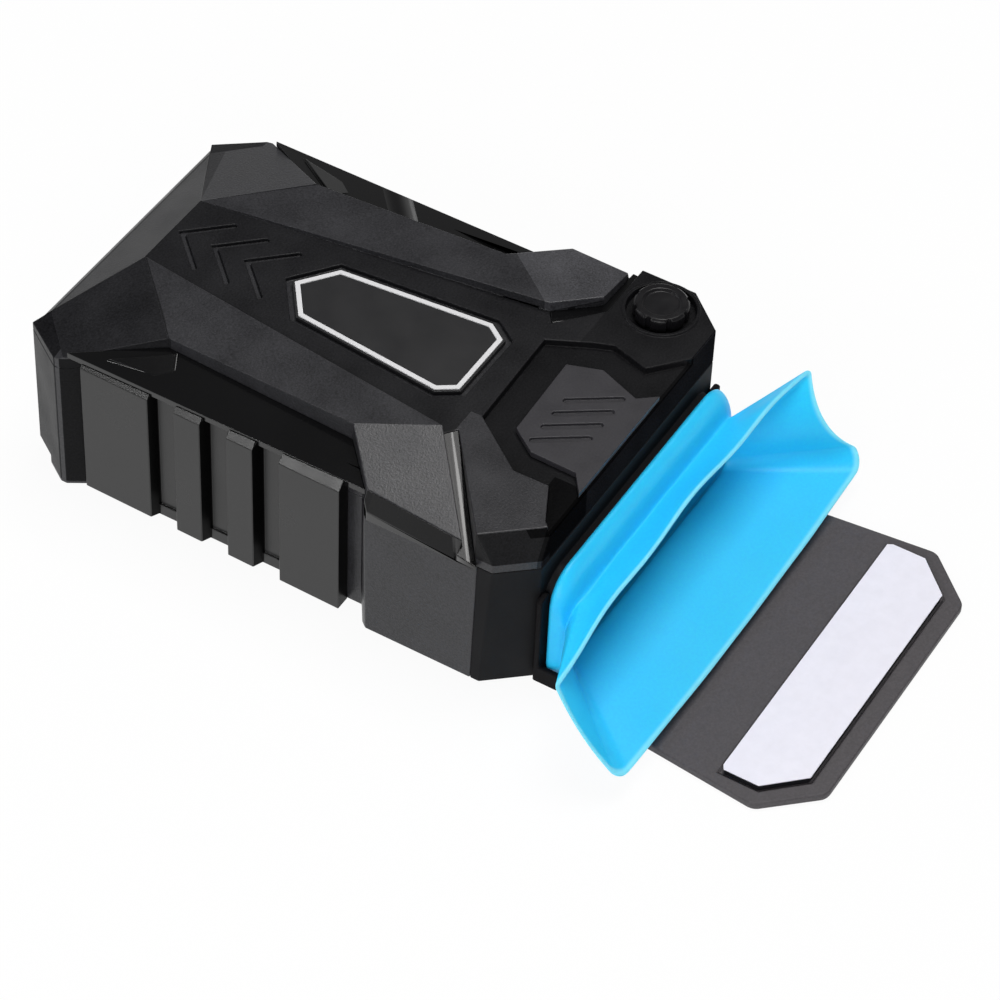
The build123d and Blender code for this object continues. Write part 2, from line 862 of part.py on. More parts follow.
def potentiometer():
    """Rotary control under the knob."""
    low = board_height + board_thickness
    body = cylinder(knob_x, knob_y, pot_radius, low, low + pot_height)
    return body - cylinder(knob_x, knob_y, knob_shaft_radius + pot_clearance, low + pot_floor, TALL)


def control_board():
    points = [(board_left_x, board_front_y), (board_right_x - board_clip, board_front_y),
              (board_right_x, board_front_y + board_clip), (board_right_x, board_rear_y),
              (board_left_x, board_rear_y)]
    board = prism(points, board_height, board_height + board_thickness)
    for x, y in board_screw_places():
        board -= cylinder(x, y, board_screw_radius + slip, 0, TALL)
    return board


def board_screws():
    """Two small screws that hang the board from the top shell."""
    screws = []
    for x, y in board_screw_places():
        shank = cylinder(x, y, board_screw_radius, board_height, board_height + board_screw_length)
        head = cylinder(x, y, board_screw_head_radius, board_height - board_screw_head, board_height)
        screws.append(shank + head)
    return Compound(children=screws)


def power_socket():
    """Round power inlet under the board, facing right."""
    half = socket_width / 2
    low = board_height - socket_height
    right = shoulder_half_width - socket_recess
    body = block((right - socket_length, right), (socket_y - half, socket_y + half), (low, board_height))
    middle = low + socket_height / 2
    axis = Plane(origin=(right, socket_y, middle), z_dir=(-1, 0, 0))
    seat = (Align.CENTER, Align.CENTER, Align.MIN)
    body -= axis * Cylinder(socket_bore_radius, socket_bore_depth, align=seat)
    pin_length = socket_bore_depth - socket_pin_recess
    body += axis * Pos(0, 0, socket_pin_recess) * Cylinder(socket_pin_radius, pin_length, align=seat)
    return body


def control_chip():
    x = board_left_x + chip_inset
    half_length, half_width = chip_length / 2, chip_width / 2
    return block((x - half_length, x + half_length), (chip_y - half_width, chip_y + half_width),
                 (board_height - chip_thickness, board_height))


def capacitor():
    x = board_left_x + board_part_inset
    y = board_front_y + board_part_inset / 2
    can = cylinder(x, y, capacitor_radius, board_height - capacitor_height, board_height)
    return chamfer(can.edges().filter_by(GeomType.CIRCLE).sort_by(Axis.Z)[0], capacitor_bevel)


def hood_form(inset):
    """The hood's outer form, or its bore when inset by the wall."""
    grow = slip + hood_wall - inset
    neck = [mouth_face(front_y - collar_depth, grow)]
    for step in range(hood_neck_steps + 1):
        angle = pi / 2 * step / hood_neck_steps
        fall = 1 - cos(angle)
        y = hood_bulge_y + (hood_waist_y - hood_bulge_y) * sin(angle)
        swell = hood_bulge * cos(angle)
        neck.append(mouth_face(y, grow + swell, fall * hood_waist_bottom, fall * hood_waist_top,
                               -fall * hood_waist_side))
    top = Vector(0, hood_lip_top_y, hood_lip_top_z)
    bottom = Vector(0, hood_lip_bottom_y, hood_lip_bottom_z)
    up = (top - bottom).normalized()
    lip_plane = Plane(origin=bottom, x_dir=(1, 0, 0), z_dir=Vector(1, 0, 0).cross(up))
    height = (top - bottom).length
    lip = lip_plane * make_face(mouth_edges(
        hood_lip_half_width - inset, inset, height - inset, hood_top_corner, hood_bottom_corner,
        hood_lip_crown, hood_lip_hollow_near, hood_lip_hollow_far, hood_lip_sag))
    return loft(neck, ruled=True) + loft([neck[-1], lip], ruled=True)


def suction_hood():
    """Soft funnel that covers the laptop's vent."""
    return hood_form(0) - hood_form(hood_wall)


def arm_inner_x():
    return spigot_half_width + collar_rim + slip


def plate_outline():
    root_y = front_y - slip
    right = [(plate_tip_half_width, plate_front_y), (plate_half_width, plate_shoulder_y),
             (plate_neck_half_width, plate_neck_y), (plate_root_half_width, root_y - plate_root_length),
             (plate_root_half_width, root_y)]
    return both(right)


def pad_outline():
    right = [(pad_tip_half_width, pad_front_y), (pad_half_width, pad_shoulder_y),
             (pad_half_width, pad_rear_y)]
    return plan(both(right))


def bracket_arm():
    """Upright arm, right side: its foot passes under the hood's rim and its gusset stands beside it."""
    inner = arm_inner_x()
    outer = inner + arm_width
    back = front_y - slip
    slot = (back - arm_thickness, back)
    root = plate_root_half_width
    foot_top = spigot_low - collar_rim - slip
    upright = block((inner, outer), slot, (gusset_low, arm_height))
    upright = fillet(upright.edges().filter_by(Axis.Y).sort_by(Axis.Z)[-2:], arm_round)
    foot = block((root - arm_width, outer), slot, (gusset_low, foot_top))
    leg = block((root - arm_width, root), slot, (0, foot_top))
    gusset = block((outer - gusset_width, outer), (back - gusset_length, back), (gusset_low, gusset_high))
    rear_low, front_high = (gusset.edges().filter_by(Axis.X).group_by(Axis.Y)[-1].sort_by(Axis.Z)[0],
                            gusset.edges().filter_by(Axis.X).group_by(Axis.Y)[0].sort_by(Axis.Z)[-1])
    gusset = fillet([rear_low, front_high], arm_round)
    return upright + foot + leg + gusset


def support_bracket():
    """Plate under the laptop with two arms that slide between bezel and hood."""
    plate = prism(plate_outline(), 0, plate_thickness)
    corners = plate.edges().filter_by(Axis.Z).sort_by(Axis.Y)[:4]
    plate = fillet(corners, plate_corner)
    plate += pair(bracket_arm())
    plate -= rise(grown(pad_outline(), pad_bed_margin), plate_thickness - pad_bed_depth, TALL)
    return plate


def pad_foam():
    low = plate_thickness - pad_bed_depth
    return rise(pad_outline(), low, low + pad_foam_thickness)


def pad_liner():
    low = plate_thickness - pad_bed_depth + pad_foam_thickness
    return rise(pad_outline(), low, low + pad_liner_thickness)


def fan_ears():
    """Screw places of the blower, round its middle."""
    return [(ear_reach * cos(radians(a)), fan_y + ear_reach * sin(radians(a))) for a in fan_ear_angles]


def scroll_form(grow, low, high):
    """The blower's air path, or its outside: three arcs of growing radius and a straight outlet."""
    first, second, third = scroll_radii
    middle_y = fan_y + scroll_start_radius - first
    lower_y = middle_y - second + third
    shift = second - first
    arcs = [
        CenterArc((0, middle_y), first + grow, 90, 90),
        CenterArc((shift, middle_y), second + grow, 180, 90),
        CenterArc((shift, lower_y), third + grow, 270, 90),
    ]
    close = Polyline(arcs[2] @ 1, (0, lower_y), arcs[0] @ 0)
    outlet = block((-grow, shift + third + grow), (lower_y, fan_outlet_y), (low, high))
    return rise(make_face(arcs + close.edges()), low, high) + outlet


def casing_form(low, high):
    """Outside of the blower casing with its screw ears."""
    form = scroll_form(fan_wall, low, high)
    for angle in fan_ear_angles:
        web = block((ear_reach - fan_ear_web, ear_reach), (-fan_ear_radius, fan_ear_radius), (low, high))
        ear = web + cylinder(ear_reach, 0, fan_ear_radius, low, high)
        form += Pos(0, fan_y, 0) * Rot(0, 0, angle) * ear
    return form


def fan_casing():
    """Blower tray: floor, spiral wall, screw ears and bearing tube."""
    floor = fan_base + fan_wall
    tray = casing_form(fan_base, fan_top - fan_wall) - scroll_form(0, floor, TALL)
    tube_top = floor + bearing_tube_height
    tray += cylinder(0, fan_y, bearing_radius + bearing_tube_wall, fan_base, tube_top)
    tray -= cylinder(0, fan_y, bearing_radius + fit, fan_base + bearing_floor, tube_top)
    for x, y in fan_ears():
        tray -= cylinder(x, y, fan_hole_radius, 0, TALL)
    return tray


def fan_cover():
    """Lid of the blower with its round inlet."""
    lid = casing_form(fan_top - fan_wall, fan_top)
    lid -= cylinder(0, fan_y, fan_inlet_radius, 0, TALL)
    rim = lid.edges().filter_by(GeomType.CIRCLE).group_by(Axis.Z)[-1].sort_by(SortBy.RADIUS)[-1]
    lid = chamfer(rim, fan_inlet_bevel)
    for x, y in fan_ears():
        lid -= cylinder(x, y, fan_hole_radius, 0, TALL)
    return lid


def fan_screws():
    screws = []
    for x, y in fan_ears():
        shank = cylinder(x, y, fan_screw_radius, fan_base - fan_screw_bite, fan_top)
        head = cylinder(x, y, fan_screw_head_radius, fan_top, fan_top + fan_screw_head)
        screws.append(shank + head)
    return Compound(children=screws)


def blade():
    """One curved blade of the impeller, as a thin sickle in plan."""
    def at(radius, degrees):
        angle = radians(degrees)
        return radius * cos(angle), radius * sin(angle)

    middle = (blade_inner_radius + impeller_radius) / 2
    thick = degrees_of(blade_thickness / middle)
    bend = blade_sweep * blade_bend
    lead = ThreePointArc(at(blade_inner_radius, 0), at(middle, bend), at(impeller_radius, blade_sweep))
    trail = ThreePointArc(at(impeller_radius, blade_sweep + thick), at(middle, bend + thick),
                          at(blade_inner_radius, thick))
    return make_face([lead, Line(lead @ 1, trail @ 0), trail, Line(trail @ 1, lead @ 0)])


def degrees_of(angle):
    return angle * 180 / pi


def impeller():
    """Radial wheel: hub cup, back plate and curved blades."""
    plate_top = rotor_low + hub_wall
    wheel = cylinder(0, 0, impeller_radius - wheel_plate_inset, rotor_low, plate_top)
    wheel += cylinder(0, 0, hub_radius, rotor_low, hub_top)
    cup_top = hub_top - hub_wall
    wheel -= cylinder(0, 0, hub_radius - hub_wall, rotor_low, cup_top)
    wheel += cylinder(0, 0, fan_shaft_radius + fan_shaft_boss, cup_top - hub_boss, cup_top)
    sickle = rise(blade(), rotor_low, rotor_high)
    wheel += [Rot(0, 0, index * 360 / blade_count) * sickle for index in range(blade_count)]
    wheel -= cylinder(0, 0, fan_shaft_radius, rotor_low - past, hub_top - fan_shaft_skin)
    return Pos(0, fan_y, 0) * wheel


def magnet_inner_radius():
    return hub_radius - hub_wall - magnet_thickness


def rotor_magnet():
    top = hub_top - hub_wall - hub_boss
    ring = cylinder(0, fan_y, hub_radius - hub_wall, rotor_low + magnet_lift, top)
    return ring - cylinder(0, fan_y, magnet_inner_radius(), 0, TALL)


def fan_shaft():
    low = fan_base + bearing_floor + thrust_disc
    return cylinder(0, fan_y, fan_shaft_radius, low, hub_top - fan_shaft_skin)


def bearing_sleeve():
    low = fan_base + bearing_floor
    top = fan_base + fan_wall + bearing_tube_height
    sleeve = cylinder(0, fan_y, bearing_radius, low, top)
    return sleeve - cylinder(0, fan_y, fan_shaft_radius + bearing_clearance, low + thrust_disc, TALL)


def stator_low():
    return rotor_low + stator_lift


def stator_core():
    """Laminated stator: hub, poles and pole shoes."""
    radius = magnet_inner_radius() - motor_gap
    low = stator_low()
    core = cylinder(0, 0, stator_hub_radius, low, low + stator_height)
    arm = block((0, radius), (-stator_pole_width / 2, stator_pole_width / 2), (low, low + stator_height))
    half_shoe = stator_shoe_width / 2
    top = low + stator_height
    shoe = block((radius - stator_shoe_thickness, radius), (-half_shoe, half_shoe), (low, top))
    pole = (arm + shoe) & cylinder(0, 0, radius, low, low + stator_height)
    core += [Rot(0, 0, index * 360 / stator_poles) * pole for index in range(stator_poles)]
    core -= cylinder(0, 0, bearing_radius + bearing_tube_wall + fit, 0, TALL)
    return Pos(0, fan_y, 0) * core


def stator_windings():
    """One coil round each pole."""
    radius = magnet_inner_radius() - motor_gap
    inner = stator_hub_radius + coil_gap
    outer = radius - stator_shoe_thickness - coil_gap
    low = stator_low()
    half = stator_pole_width / 2
    coil = block((inner, outer), (-half - coil_thickness, half + coil_thickness),
                 (low - coil_thickness, low + stator_height + coil_thickness))
    coil = fillet(coil.edges().filter_by(Axis.X), coil_round)
    coil -= block((0, WIDE), (-half - fit, half + fit), (low - fit, low + stator_height + fit))
    turns = [Rot(0, 0, index * 360 / stator_poles) for index in range(stator_poles)]
    return Compound(children=[Pos(0, fan_y, 0) * turn * coil for turn in turns])


def fan_board():
    low = fan_base + fan_wall
    board = cylinder(0, fan_y, magnet_inner_radius() - motor_gap, low, low + motor_board_thickness)
    return board - cylinder(0, fan_y, bearing_radius + bearing_tube_wall + slip, 0, TALL)


def case_screws():
    screws = []
    head_top = case_boss_top - case_boss_web
    for x, y in (case_boss_front, case_boss_rear):
        for side in (-1, 1):
            shank = cylinder(side * x, y, case_screw_radius, head_top, seam_height + case_screw_bite)
            head = cylinder(side * x, y, case_screw_head_radius, head_top - case_screw_head, head_top)
            screws.append(shank + head)
    return Compound(children=screws)


def rear_grille():
    """Outlet grille set into the rear wall."""
    half = grille_half_width - slip
    low = grille_low + slip
    high = grille_high - slip
    back = rear_y - wall
    slat_rear = rear_y - grille_recess
    half_slat = grille_slat_thickness / 2
    inside = half - grille_frame
    frame = block((-half, half), (back, rear_y), (low, high))
    through = (back - past, rear_y + past)
    frame -= block((-inside, inside), through, (low + grille_frame, high - grille_frame))
    pitch = (high - low - 2 * grille_frame) / (grille_slats + 1)
    for index in range(1, grille_slats + 1):
        middle = low + grille_frame + index * pitch
        frame += block((-inside, inside), (back, slat_rear), (middle - half_slat, middle + half_slat))
    for x in (-half / 3, half / 3):
        frame += block((x - half_slat, x + half_slat), (back, slat_rear), (low, high))
    return frame


def rubber_feet():
    feet = []
    for x, y in (foot_front, foot_rear):
        for side in (-1, 1):
            foot = cylinder(side * x, y, foot_radius, 0, foot_height)
            foot = chamfer(foot.edges().filter_by(GeomType.CIRCLE).sort_by(Axis.Z)[0], foot_bevel)
            feet.append(foot)
    return Compound(children=feet)


def left(shape):
    return mirror(shape, about=Plane.YZ)


os.makedirs("parts", exist_ok=True)
nodes = {
    "top_shell": top_shell(),
    "bottom_shell": bottom_shell(),
    "front_bezel": front_bezel(),
    "side_panel_left": left(side_panel()),
    "side_panel_right": side_panel(),
    "side_strip_left": left(side_strip()),
    "side_strip_right": side_strip(),
    "corner_fin_left": left(corner_fin(False)),
    "corner_fin_right": corner_fin(True),
    "relief_inlay": relief_inlay(),
    "badge_plate": badge_plate(),
    "badge_border": badge_border(),
    "rear_grille": rear_grille(),
    "suction_hood": suction_hood(),
    "support_bracket": support_bracket(),
    "pad_foam": pad_foam(),
    "pad_liner": pad_liner(),
    "speed_knob": speed_knob(),
    "knob_shaft": knob_shaft(),
    "potentiometer": potentiometer(),
    "control_board": control_board(),
    "board_screws": board_screws(),
    "control_chip": control_chip(),
    "capacitor": capacitor(),
    "power_socket": power_socket(),
    "fan_casing": fan_casing(),
    "fan_cover": fan_cover(),
    "fan_screws": fan_screws(),
    "impeller": impeller(),
    "rotor_magnet": rotor_magnet(),
    "fan_shaft": fan_shaft(),
    "bearing_sleeve": bearing_sleeve(),
    "stator_core": stator_core(),
    "stator_windings": stator_windings(),
    "fan_board": fan_board(),
    "case_screws": case_screws(),
    "rubber_feet": rubber_feet(),
}
for name, shape in nodes.items():
    export_step(shape, f"parts/{name}.step")
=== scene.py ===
"""Looks of a laptop cooling fan: soft hood, adhesive pad and surface finishes round the fixed frame."""
import math

import bmesh
import bpy
from bpy.props import FloatProperty, FloatVectorProperty, IntProperty, PointerProperty
from mathutils import Matrix, Vector, noise


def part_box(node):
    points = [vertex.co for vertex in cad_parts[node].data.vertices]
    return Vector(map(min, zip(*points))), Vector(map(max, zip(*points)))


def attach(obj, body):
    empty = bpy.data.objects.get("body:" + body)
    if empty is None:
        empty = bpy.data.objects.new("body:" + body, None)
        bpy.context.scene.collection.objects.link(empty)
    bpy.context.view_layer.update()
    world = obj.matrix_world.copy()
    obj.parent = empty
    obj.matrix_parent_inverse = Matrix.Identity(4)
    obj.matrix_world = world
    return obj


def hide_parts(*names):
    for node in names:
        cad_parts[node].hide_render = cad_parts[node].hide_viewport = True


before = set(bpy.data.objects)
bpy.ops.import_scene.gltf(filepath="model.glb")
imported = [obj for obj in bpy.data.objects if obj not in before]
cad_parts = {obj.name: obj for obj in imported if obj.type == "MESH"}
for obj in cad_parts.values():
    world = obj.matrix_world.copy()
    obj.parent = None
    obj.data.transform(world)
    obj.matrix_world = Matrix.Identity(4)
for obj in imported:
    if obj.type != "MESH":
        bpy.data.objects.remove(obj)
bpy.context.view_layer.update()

bl_info = {
    "name": "Laptop Cooling Fan Looks",
    "version": (1, 0, 0),
    "blender": (4, 5, 0),
    "location": "View3D > Sidebar > Cooling Fan",
    "description": "Builds the soft parts and the finishes of a laptop cooling fan",
    "category": "Object",
}

MM = 0.001

# Grained surfaces: share of the clouds in the tone, and the stretches of noise that make tone and gloss
CLOUD_SHARE = 0.35
TONE_NOISE = (0.42, 0.93)
GLOSS_NOISE = (0.3, 0.7)

# Painted light on the thin lip's edge, from where it starts behind the lip's plane to where it is full
# before it
LIP_GLOW = (-0.4 * MM, 0.2 * MM)

# Frame meshes before their edges are eased: points this near become one, faces this flat become one,
# and edges sharper than this are rounded
JOIN_WITHIN = 0.002 * MM
FLAT_WITHIN = math.radians(0.4)
SHARP_FROM = math.radians(17)

# The hood: turns by which its wave is shifted, rings smoothed on each side of the waist, steps round the
# lip's edge, and the distance from the seat at which the walls wander fully
WAVE_SHIFT = 0.1
WAIST_REACH = 3
RIM_STEPS = 4
WANDER_FROM = 6 * MM

# The pad: how near the top a point of its outline lies, digits of a metre that tell its corners apart,
# steps round a corner, width of its crisp edge, and the least length and distance that count
LEVEL_WITHIN = 0.05 * MM
PLAN_DIGITS = 5
CORNER_STEPS = 4
CRISP_EDGE = 0.06 * MM
NO_LENGTH = 1e-6
NO_DISTANCE = 1e-7

# The stage: heights between which the sweep's light falls off, camera's sensor in millimetres and its clips
SWEEP_RISE = (0.05, 0.55)
SENSOR_WIDTH = 36.0
CLIPS = (0.05, 20.0)


def linear(code):
    """An sRGB hex colour as linear RGB."""
    channels = [int(code[start:start + 2], 16) / 255 for start in (1, 3, 5)]
    return tuple(c / 12.92 if c <= 0.04045 else ((c + 0.055) / 1.055) ** 2.4 for c in channels)


def add_node(tree, kind, settings=None, values=None, links=None):
    """Adds a node with its settings, its socket values and the sockets that feed it."""
    made = tree.nodes.new(kind)
    for name, value in (settings or {}).items():
        setattr(made, name, value)
    for name, value in (values or {}).items():
        made.inputs[name].default_value = value
    for name, source in (links or {}).items():
        tree.links.new(source, made.inputs[name])
    return made


def rgba(colour):
    """A colour with full alpha."""
    return (*colour[:3], 1.0)


def shade(colour, share):
    """A colour made lighter or darker by a share."""
    return tuple(min(1.0, channel * share) for channel in colour[:3])


def empty_material(name):
    """A material with only an output, its tree and that output."""
    material = bpy.data.materials.new(name)
    material.use_nodes = True
    tree = material.node_tree
    tree.nodes.clear()
    return material, tree, tree.nodes.new("ShaderNodeOutputMaterial")


def in_box(tree, place, low, high):
    """A socket that is 1 where a place lies in a box given in millimetres."""
    middle = [(a + b) / 2 * MM for a, b in zip(low, high)]
    half = [(b - a) / 2 * MM for a, b in zip(low, high)]
    shift = add_node(tree, "ShaderNodeVectorMath", {"operation": "SUBTRACT"}, {1: middle}, {0: place})
    size = add_node(tree, "ShaderNodeVectorMath", {"operation": "DIVIDE"}, {1: half},
                    {0: shift.outputs[0]})
    reach = add_node(tree, "ShaderNodeVectorMath", {"operation": "ABSOLUTE"},
                     links={0: size.outputs[0]})
    parts = add_node(tree, "ShaderNodeSeparateXYZ", links={0: reach.outputs[0]})
    wider = add_node(tree, "ShaderNodeMath", {"operation": "MAXIMUM"},
                     links={0: parts.outputs[0], 1: parts.outputs[1]})
    most = add_node(tree, "ShaderNodeMath", {"operation": "MAXIMUM"},
                    links={0: wider.outputs[0], 1: parts.outputs[2]})
    return add_node(tree, "ShaderNodeMath", {"operation": "LESS_THAN"}, {1: 1.0},
                    {0: most.outputs[0]}).outputs[0]


def cove_height(tree, place, cove):
    """Height of a band along a line: it grows with the square of the distance, up to the half width."""
    origin, across, half_width, depth = cove
    shift = add_node(tree, "ShaderNodeVectorMath", {"operation": "SUBTRACT"},
                     {1: [c * MM for c in origin]}, {0: place})
    side = add_node(tree, "ShaderNodeVectorMath", {"operation": "DOT_PRODUCT"},
                    {1: Vector(across).normalized() / (half_width * MM)}, {0: shift.outputs[0]})
    reach = add_node(tree, "ShaderNodeMath", {"operation": "ABSOLUTE"}, links={0: side.outputs["Value"]})
    held = add_node(tree, "ShaderNodeMath", {"operation": "MINIMUM"}, {1: 1.0}, {0: reach.outputs[0]})
    square = add_node(tree, "ShaderNodeMath", {"operation": "POWER"}, {1: 2.0}, {0: held.outputs[0]})
    return add_node(tree, "ShaderNodeMath", {"operation": "MULTIPLY"}, {1: depth * MM},
                    {0: square.outputs[0]}).outputs[0]


def in_wedge(tree, place, foot, slope, low, high, side_of="LESS_THAN"):
    """A socket that is 1 in a box where |x| + slope * y is less, or greater, than foot in millimetres."""
    parts = add_node(tree, "ShaderNodeSeparateXYZ", links={0: place})
    side = add_node(tree, "ShaderNodeMath", {"operation": "ABSOLUTE"}, links={0: parts.outputs[0]})
    edge = add_node(tree, "ShaderNodeMath", {"operation": "MULTIPLY_ADD"}, {1: slope},
                    {0: parts.outputs[1], 2: side.outputs[0]})
    inside = add_node(tree, "ShaderNodeMath", {"operation": side_of}, {1: foot * MM},
                      {0: edge.outputs[0]})
    return add_node(tree, "ShaderNodeMath", {"operation": "MULTIPLY"},
                    links={0: inside.outputs[0], 1: in_box(tree, place, low, high)}).outputs[0]


def painted_light_share(tree, place, regions, lit=None):
    """A socket with the painted share of light that a place gives back: below 1 it paints shade, above 1
    light.

    The shares of all regions that it lies in are multiplied, and lit too where it is given."""
    for share, find, *where in regions:
        kept = add_node(tree, "ShaderNodeMath", {"operation": "MULTIPLY_ADD"}, {1: share - 1, 2: 1.0},
                        {0: find(tree, place, *where)}).outputs[0]
        if lit:
            kept = add_node(tree, "ShaderNodeMath", {"operation": "MULTIPLY"},
                            links={0: lit, 1: kept}).outputs[0]
        lit = kept
    return lit


def grained(name, colour, spread, rough, rough_spread, grain, depth, patch, shader, regions=(), dull=(),
            coves=()):
    """A surface with fine grain, cloudy patches of tone and the principled shader's own values.

    Grain is the size of a grain, depth its height and patch the size of a cloud, all in metres.
    Spread is how far the tone wanders, and rough_spread how far the gloss does.
    Each region paints light or shade with its share, on both the colour and the mirror sheen, in the box
    or the wedge where it holds. Dull regions paint shade on the mirror sheen alone.
    A cove bends the light as a rounded or hollowed face does."""
    material, tree, output = empty_material(name)
    place = add_node(tree, "ShaderNodeTexCoord").outputs["Object"]
    fine = add_node(tree, "ShaderNodeTexNoise",
                    values={"Scale": 1 / grain, "Detail": 2.0, "Roughness": 0.6}, links={"Vector": place})
    cloud = add_node(tree, "ShaderNodeTexNoise", values={"Scale": 1 / patch, "Detail": 4.0},
                     links={"Vector": place})
    both = add_node(tree, "ShaderNodeMath", {"operation": "MULTIPLY_ADD"}, {1: CLOUD_SHARE},
                    {0: cloud.outputs["Fac"], 2: fine.outputs["Fac"]})
    tone = add_node(tree, "ShaderNodeMapRange",
                    values={"From Min": TONE_NOISE[0], "From Max": TONE_NOISE[1]},
                    links={"Value": both.outputs[0]})
    mix = add_node(tree, "ShaderNodeMix", {"data_type": "RGBA"},
                   {"A": rgba(shade(colour, 1 - spread)), "B": rgba(shade(colour, 1 + spread))},
                   {"Factor": tone.outputs[0]})
    gloss = add_node(tree, "ShaderNodeMapRange",
                     values={"From Min": GLOSS_NOISE[0], "From Max": GLOSS_NOISE[1],
                             "To Min": rough - rough_spread, "To Max": rough + rough_spread},
                     links={"Value": cloud.outputs["Fac"]})
    bump = add_node(tree, "ShaderNodeBump", values={"Strength": 1.0, "Distance": depth},
                    links={"Height": fine.outputs["Fac"]})
    surface = add_node(tree, "ShaderNodeBsdfPrincipled", values=shader,
                       links={"Base Color": mix.outputs["Result"], "Roughness": gloss.outputs[0]})
    # Painted light and shade: the regions' shares darken or lighten the colour and the mirror sheen
    if regions:
        lit = painted_light_share(tree, place, regions)
        dark = add_node(tree, "ShaderNodeMix", {"data_type": "RGBA", "blend_type": "MULTIPLY"},
                        {"Factor": 1.0}, {"A": mix.outputs["Result"], "B": lit})
        sheen = add_node(tree, "ShaderNodeMath", {"operation": "MULTIPLY"},
                         {1: shader["Specular IOR Level"]}, {0: painted_light_share(tree, place, dull, lit)})
        tree.links.new(dark.outputs["Result"], surface.inputs["Base Color"])
        tree.links.new(sheen.outputs[0], surface.inputs["Specular IOR Level"])
    tree.links.new(bump.outputs["Normal"], surface.inputs["Normal"])
    for cove in coves:
        hollow = add_node(tree, "ShaderNodeBump", values={"Strength": 1.0, "Distance": 1.0},
                          links={"Height": cove_height(tree, place, cove)})
        tree.links.new(hollow.outputs["Normal"], bump.inputs["Normal"])
        bump = hollow
    tree.links.new(surface.outputs[0], output.inputs["Surface"])
    return material


# Regions of the shells whose colour and sheen are painted darker or lighter than the rest, each with its
# share and its bounds in millimetres; the notes below tell which are painted shade and which painted light.
# Where two overlap, their shares are multiplied.
HOUSING_TONES_AND_PAINTED_LIGHT = (
    # Smooth middle panel with the badge pocket and the chevrons, and the deck between badge and relief
    (0.45, in_wedge, 20.37, 0.1373, (-25.0, 0.5, 40.0), (25.0, 77.0, 40.88)),
    (0.45, in_box, (-12.0, -7.3, 40.66), (28.5, 0.5, 40.88)),
    # Deck round the knob
    (0.33, in_box, (-12.0, -29.0, 40.66), (41.0, -7.3, 41.4)),
    # Facet beside the knob, its top and its low outer edge: painted light
    (1.9, in_wedge, 17.4, -0.8, (17.0, -7.2, 40.9), (41.0, 17.0, 43.2), "GREATER_THAN"),
    (1.9, in_wedge, 17.4, -0.8, (28.5, -5.5, 38.0), (41.0, 17.0, 40.9), "GREATER_THAN"),
    # Channel round the relief and its near end: painted shade in the recess
    (0.3, in_box, (-21.5, -29.0, 38.9), (24.0, -0.5, 40.65)),
    (0.3, in_box, (-33.0, -29.0, 38.9), (-21.5, -21.0, 40.65)),
    # Well of the knob: painted shade in the recess
    (0.3, in_box, (25.2, -23.2, 39.3), (39.4, -9.0, 40.65)),
    # Front face beside the hood: painted shade
    (0.45, in_box, (-41.0, -30.0, 1.0), (41.0, -27.2, 40.5)),
    # Slope below the near front corner, and the walls beside it where the channel opens: painted shade
    (0.3, in_box, (-41.0, -29.0, 34.4), (-30.5, -16.4, 40.62)),
    (0.35, in_box, (-30.5, -29.0, 33.0), (-17.0, -21.0, 40.3)),
    # Returns behind the side panels, and the upright rear corners: painted shade
    (0.2, in_box, (-37.9, 73.4, 1.0), (37.9, 78.3, 34.9)),
    (0.4, in_box, (-41.0, 79.3, 1.0), (41.0, 92.0, 35.2)),
    # Rear slopes, the middle and far ones, and the near one: painted shade on faces turned from the lamps
    (0.55, in_wedge, -195.2, -2.66, (-9.6, 76.9, 35.2), (41.0, 92.0, 41.0)),
    (0.55, in_wedge, 84.9, 0.98, (-41.0, 58.0, 35.2), (-9.6, 92.0, 40.9), "GREATER_THAN"),
)

# Regions whose mirror sheen is painted down, in millimetres: painted shade that takes the hood's reflection
# off the front face beside it, and dims the grazing highlight on the upright rear corners
HOUSING_PAINTED_DULL_SHEEN = (
    (0.0, in_box, (-41.0, -30.0, 1.0), (41.0, -27.8, 41.0)),
    (0.4, in_box, (-41.0, 79.3, 1.0), (41.0, 92.0, 35.2)),
)


def housing_material(finish):
    # Moulded black ABS with a spark-eroded texture: a soft dull sheen, no clear reflection.
    # The grit is about 0.1 mm on the real one and is drawn at 0.4 mm, so that it shows.
    # Painted shade darkens the recesses, the faces turned from the lamps and the front beside the hood,
    # and painted light brightens the facet beside the knob.
    return grained("black_abs_spark_eroded", finish.housing, spread=0.6, rough=0.36, rough_spread=0.05,
                   grain=0.4 * MM, depth=0.05 * MM, patch=9 * MM,
                   shader={"IOR": 1.5, "Specular IOR Level": 0.38},
                   regions=HOUSING_TONES_AND_PAINTED_LIGHT, dull=HOUSING_PAINTED_DULL_SHEEN)


def bezel_material(finish):
    # The same ABS from a tool with a finer, duller texture; its colour and sheen are painted nearly black,
    # as painted shade from the hood.
    return grained("black_abs_fine_matt", shade(finish.housing, 0.3), spread=0.12, rough=0.6,
                   rough_spread=0.05, grain=0.35 * MM, depth=0.008 * MM, patch=9 * MM,
                   shader={"IOR": 1.45, "Specular IOR Level": 0.15})


# Where the blocks of the side panels end in front, along Y, and their front walls, painted dark as painted
# shade between the blocks, in millimetres
BLOCK_FRONTS = (13.3, 33.2, 45.4, 57.6)
PANEL_PAINTED_SHADE = tuple((0.12, in_box, (-38.75, y - 1.2, 2.0), (38.75, y - 0.08, 37.0)) for y in BLOCK_FRONTS)


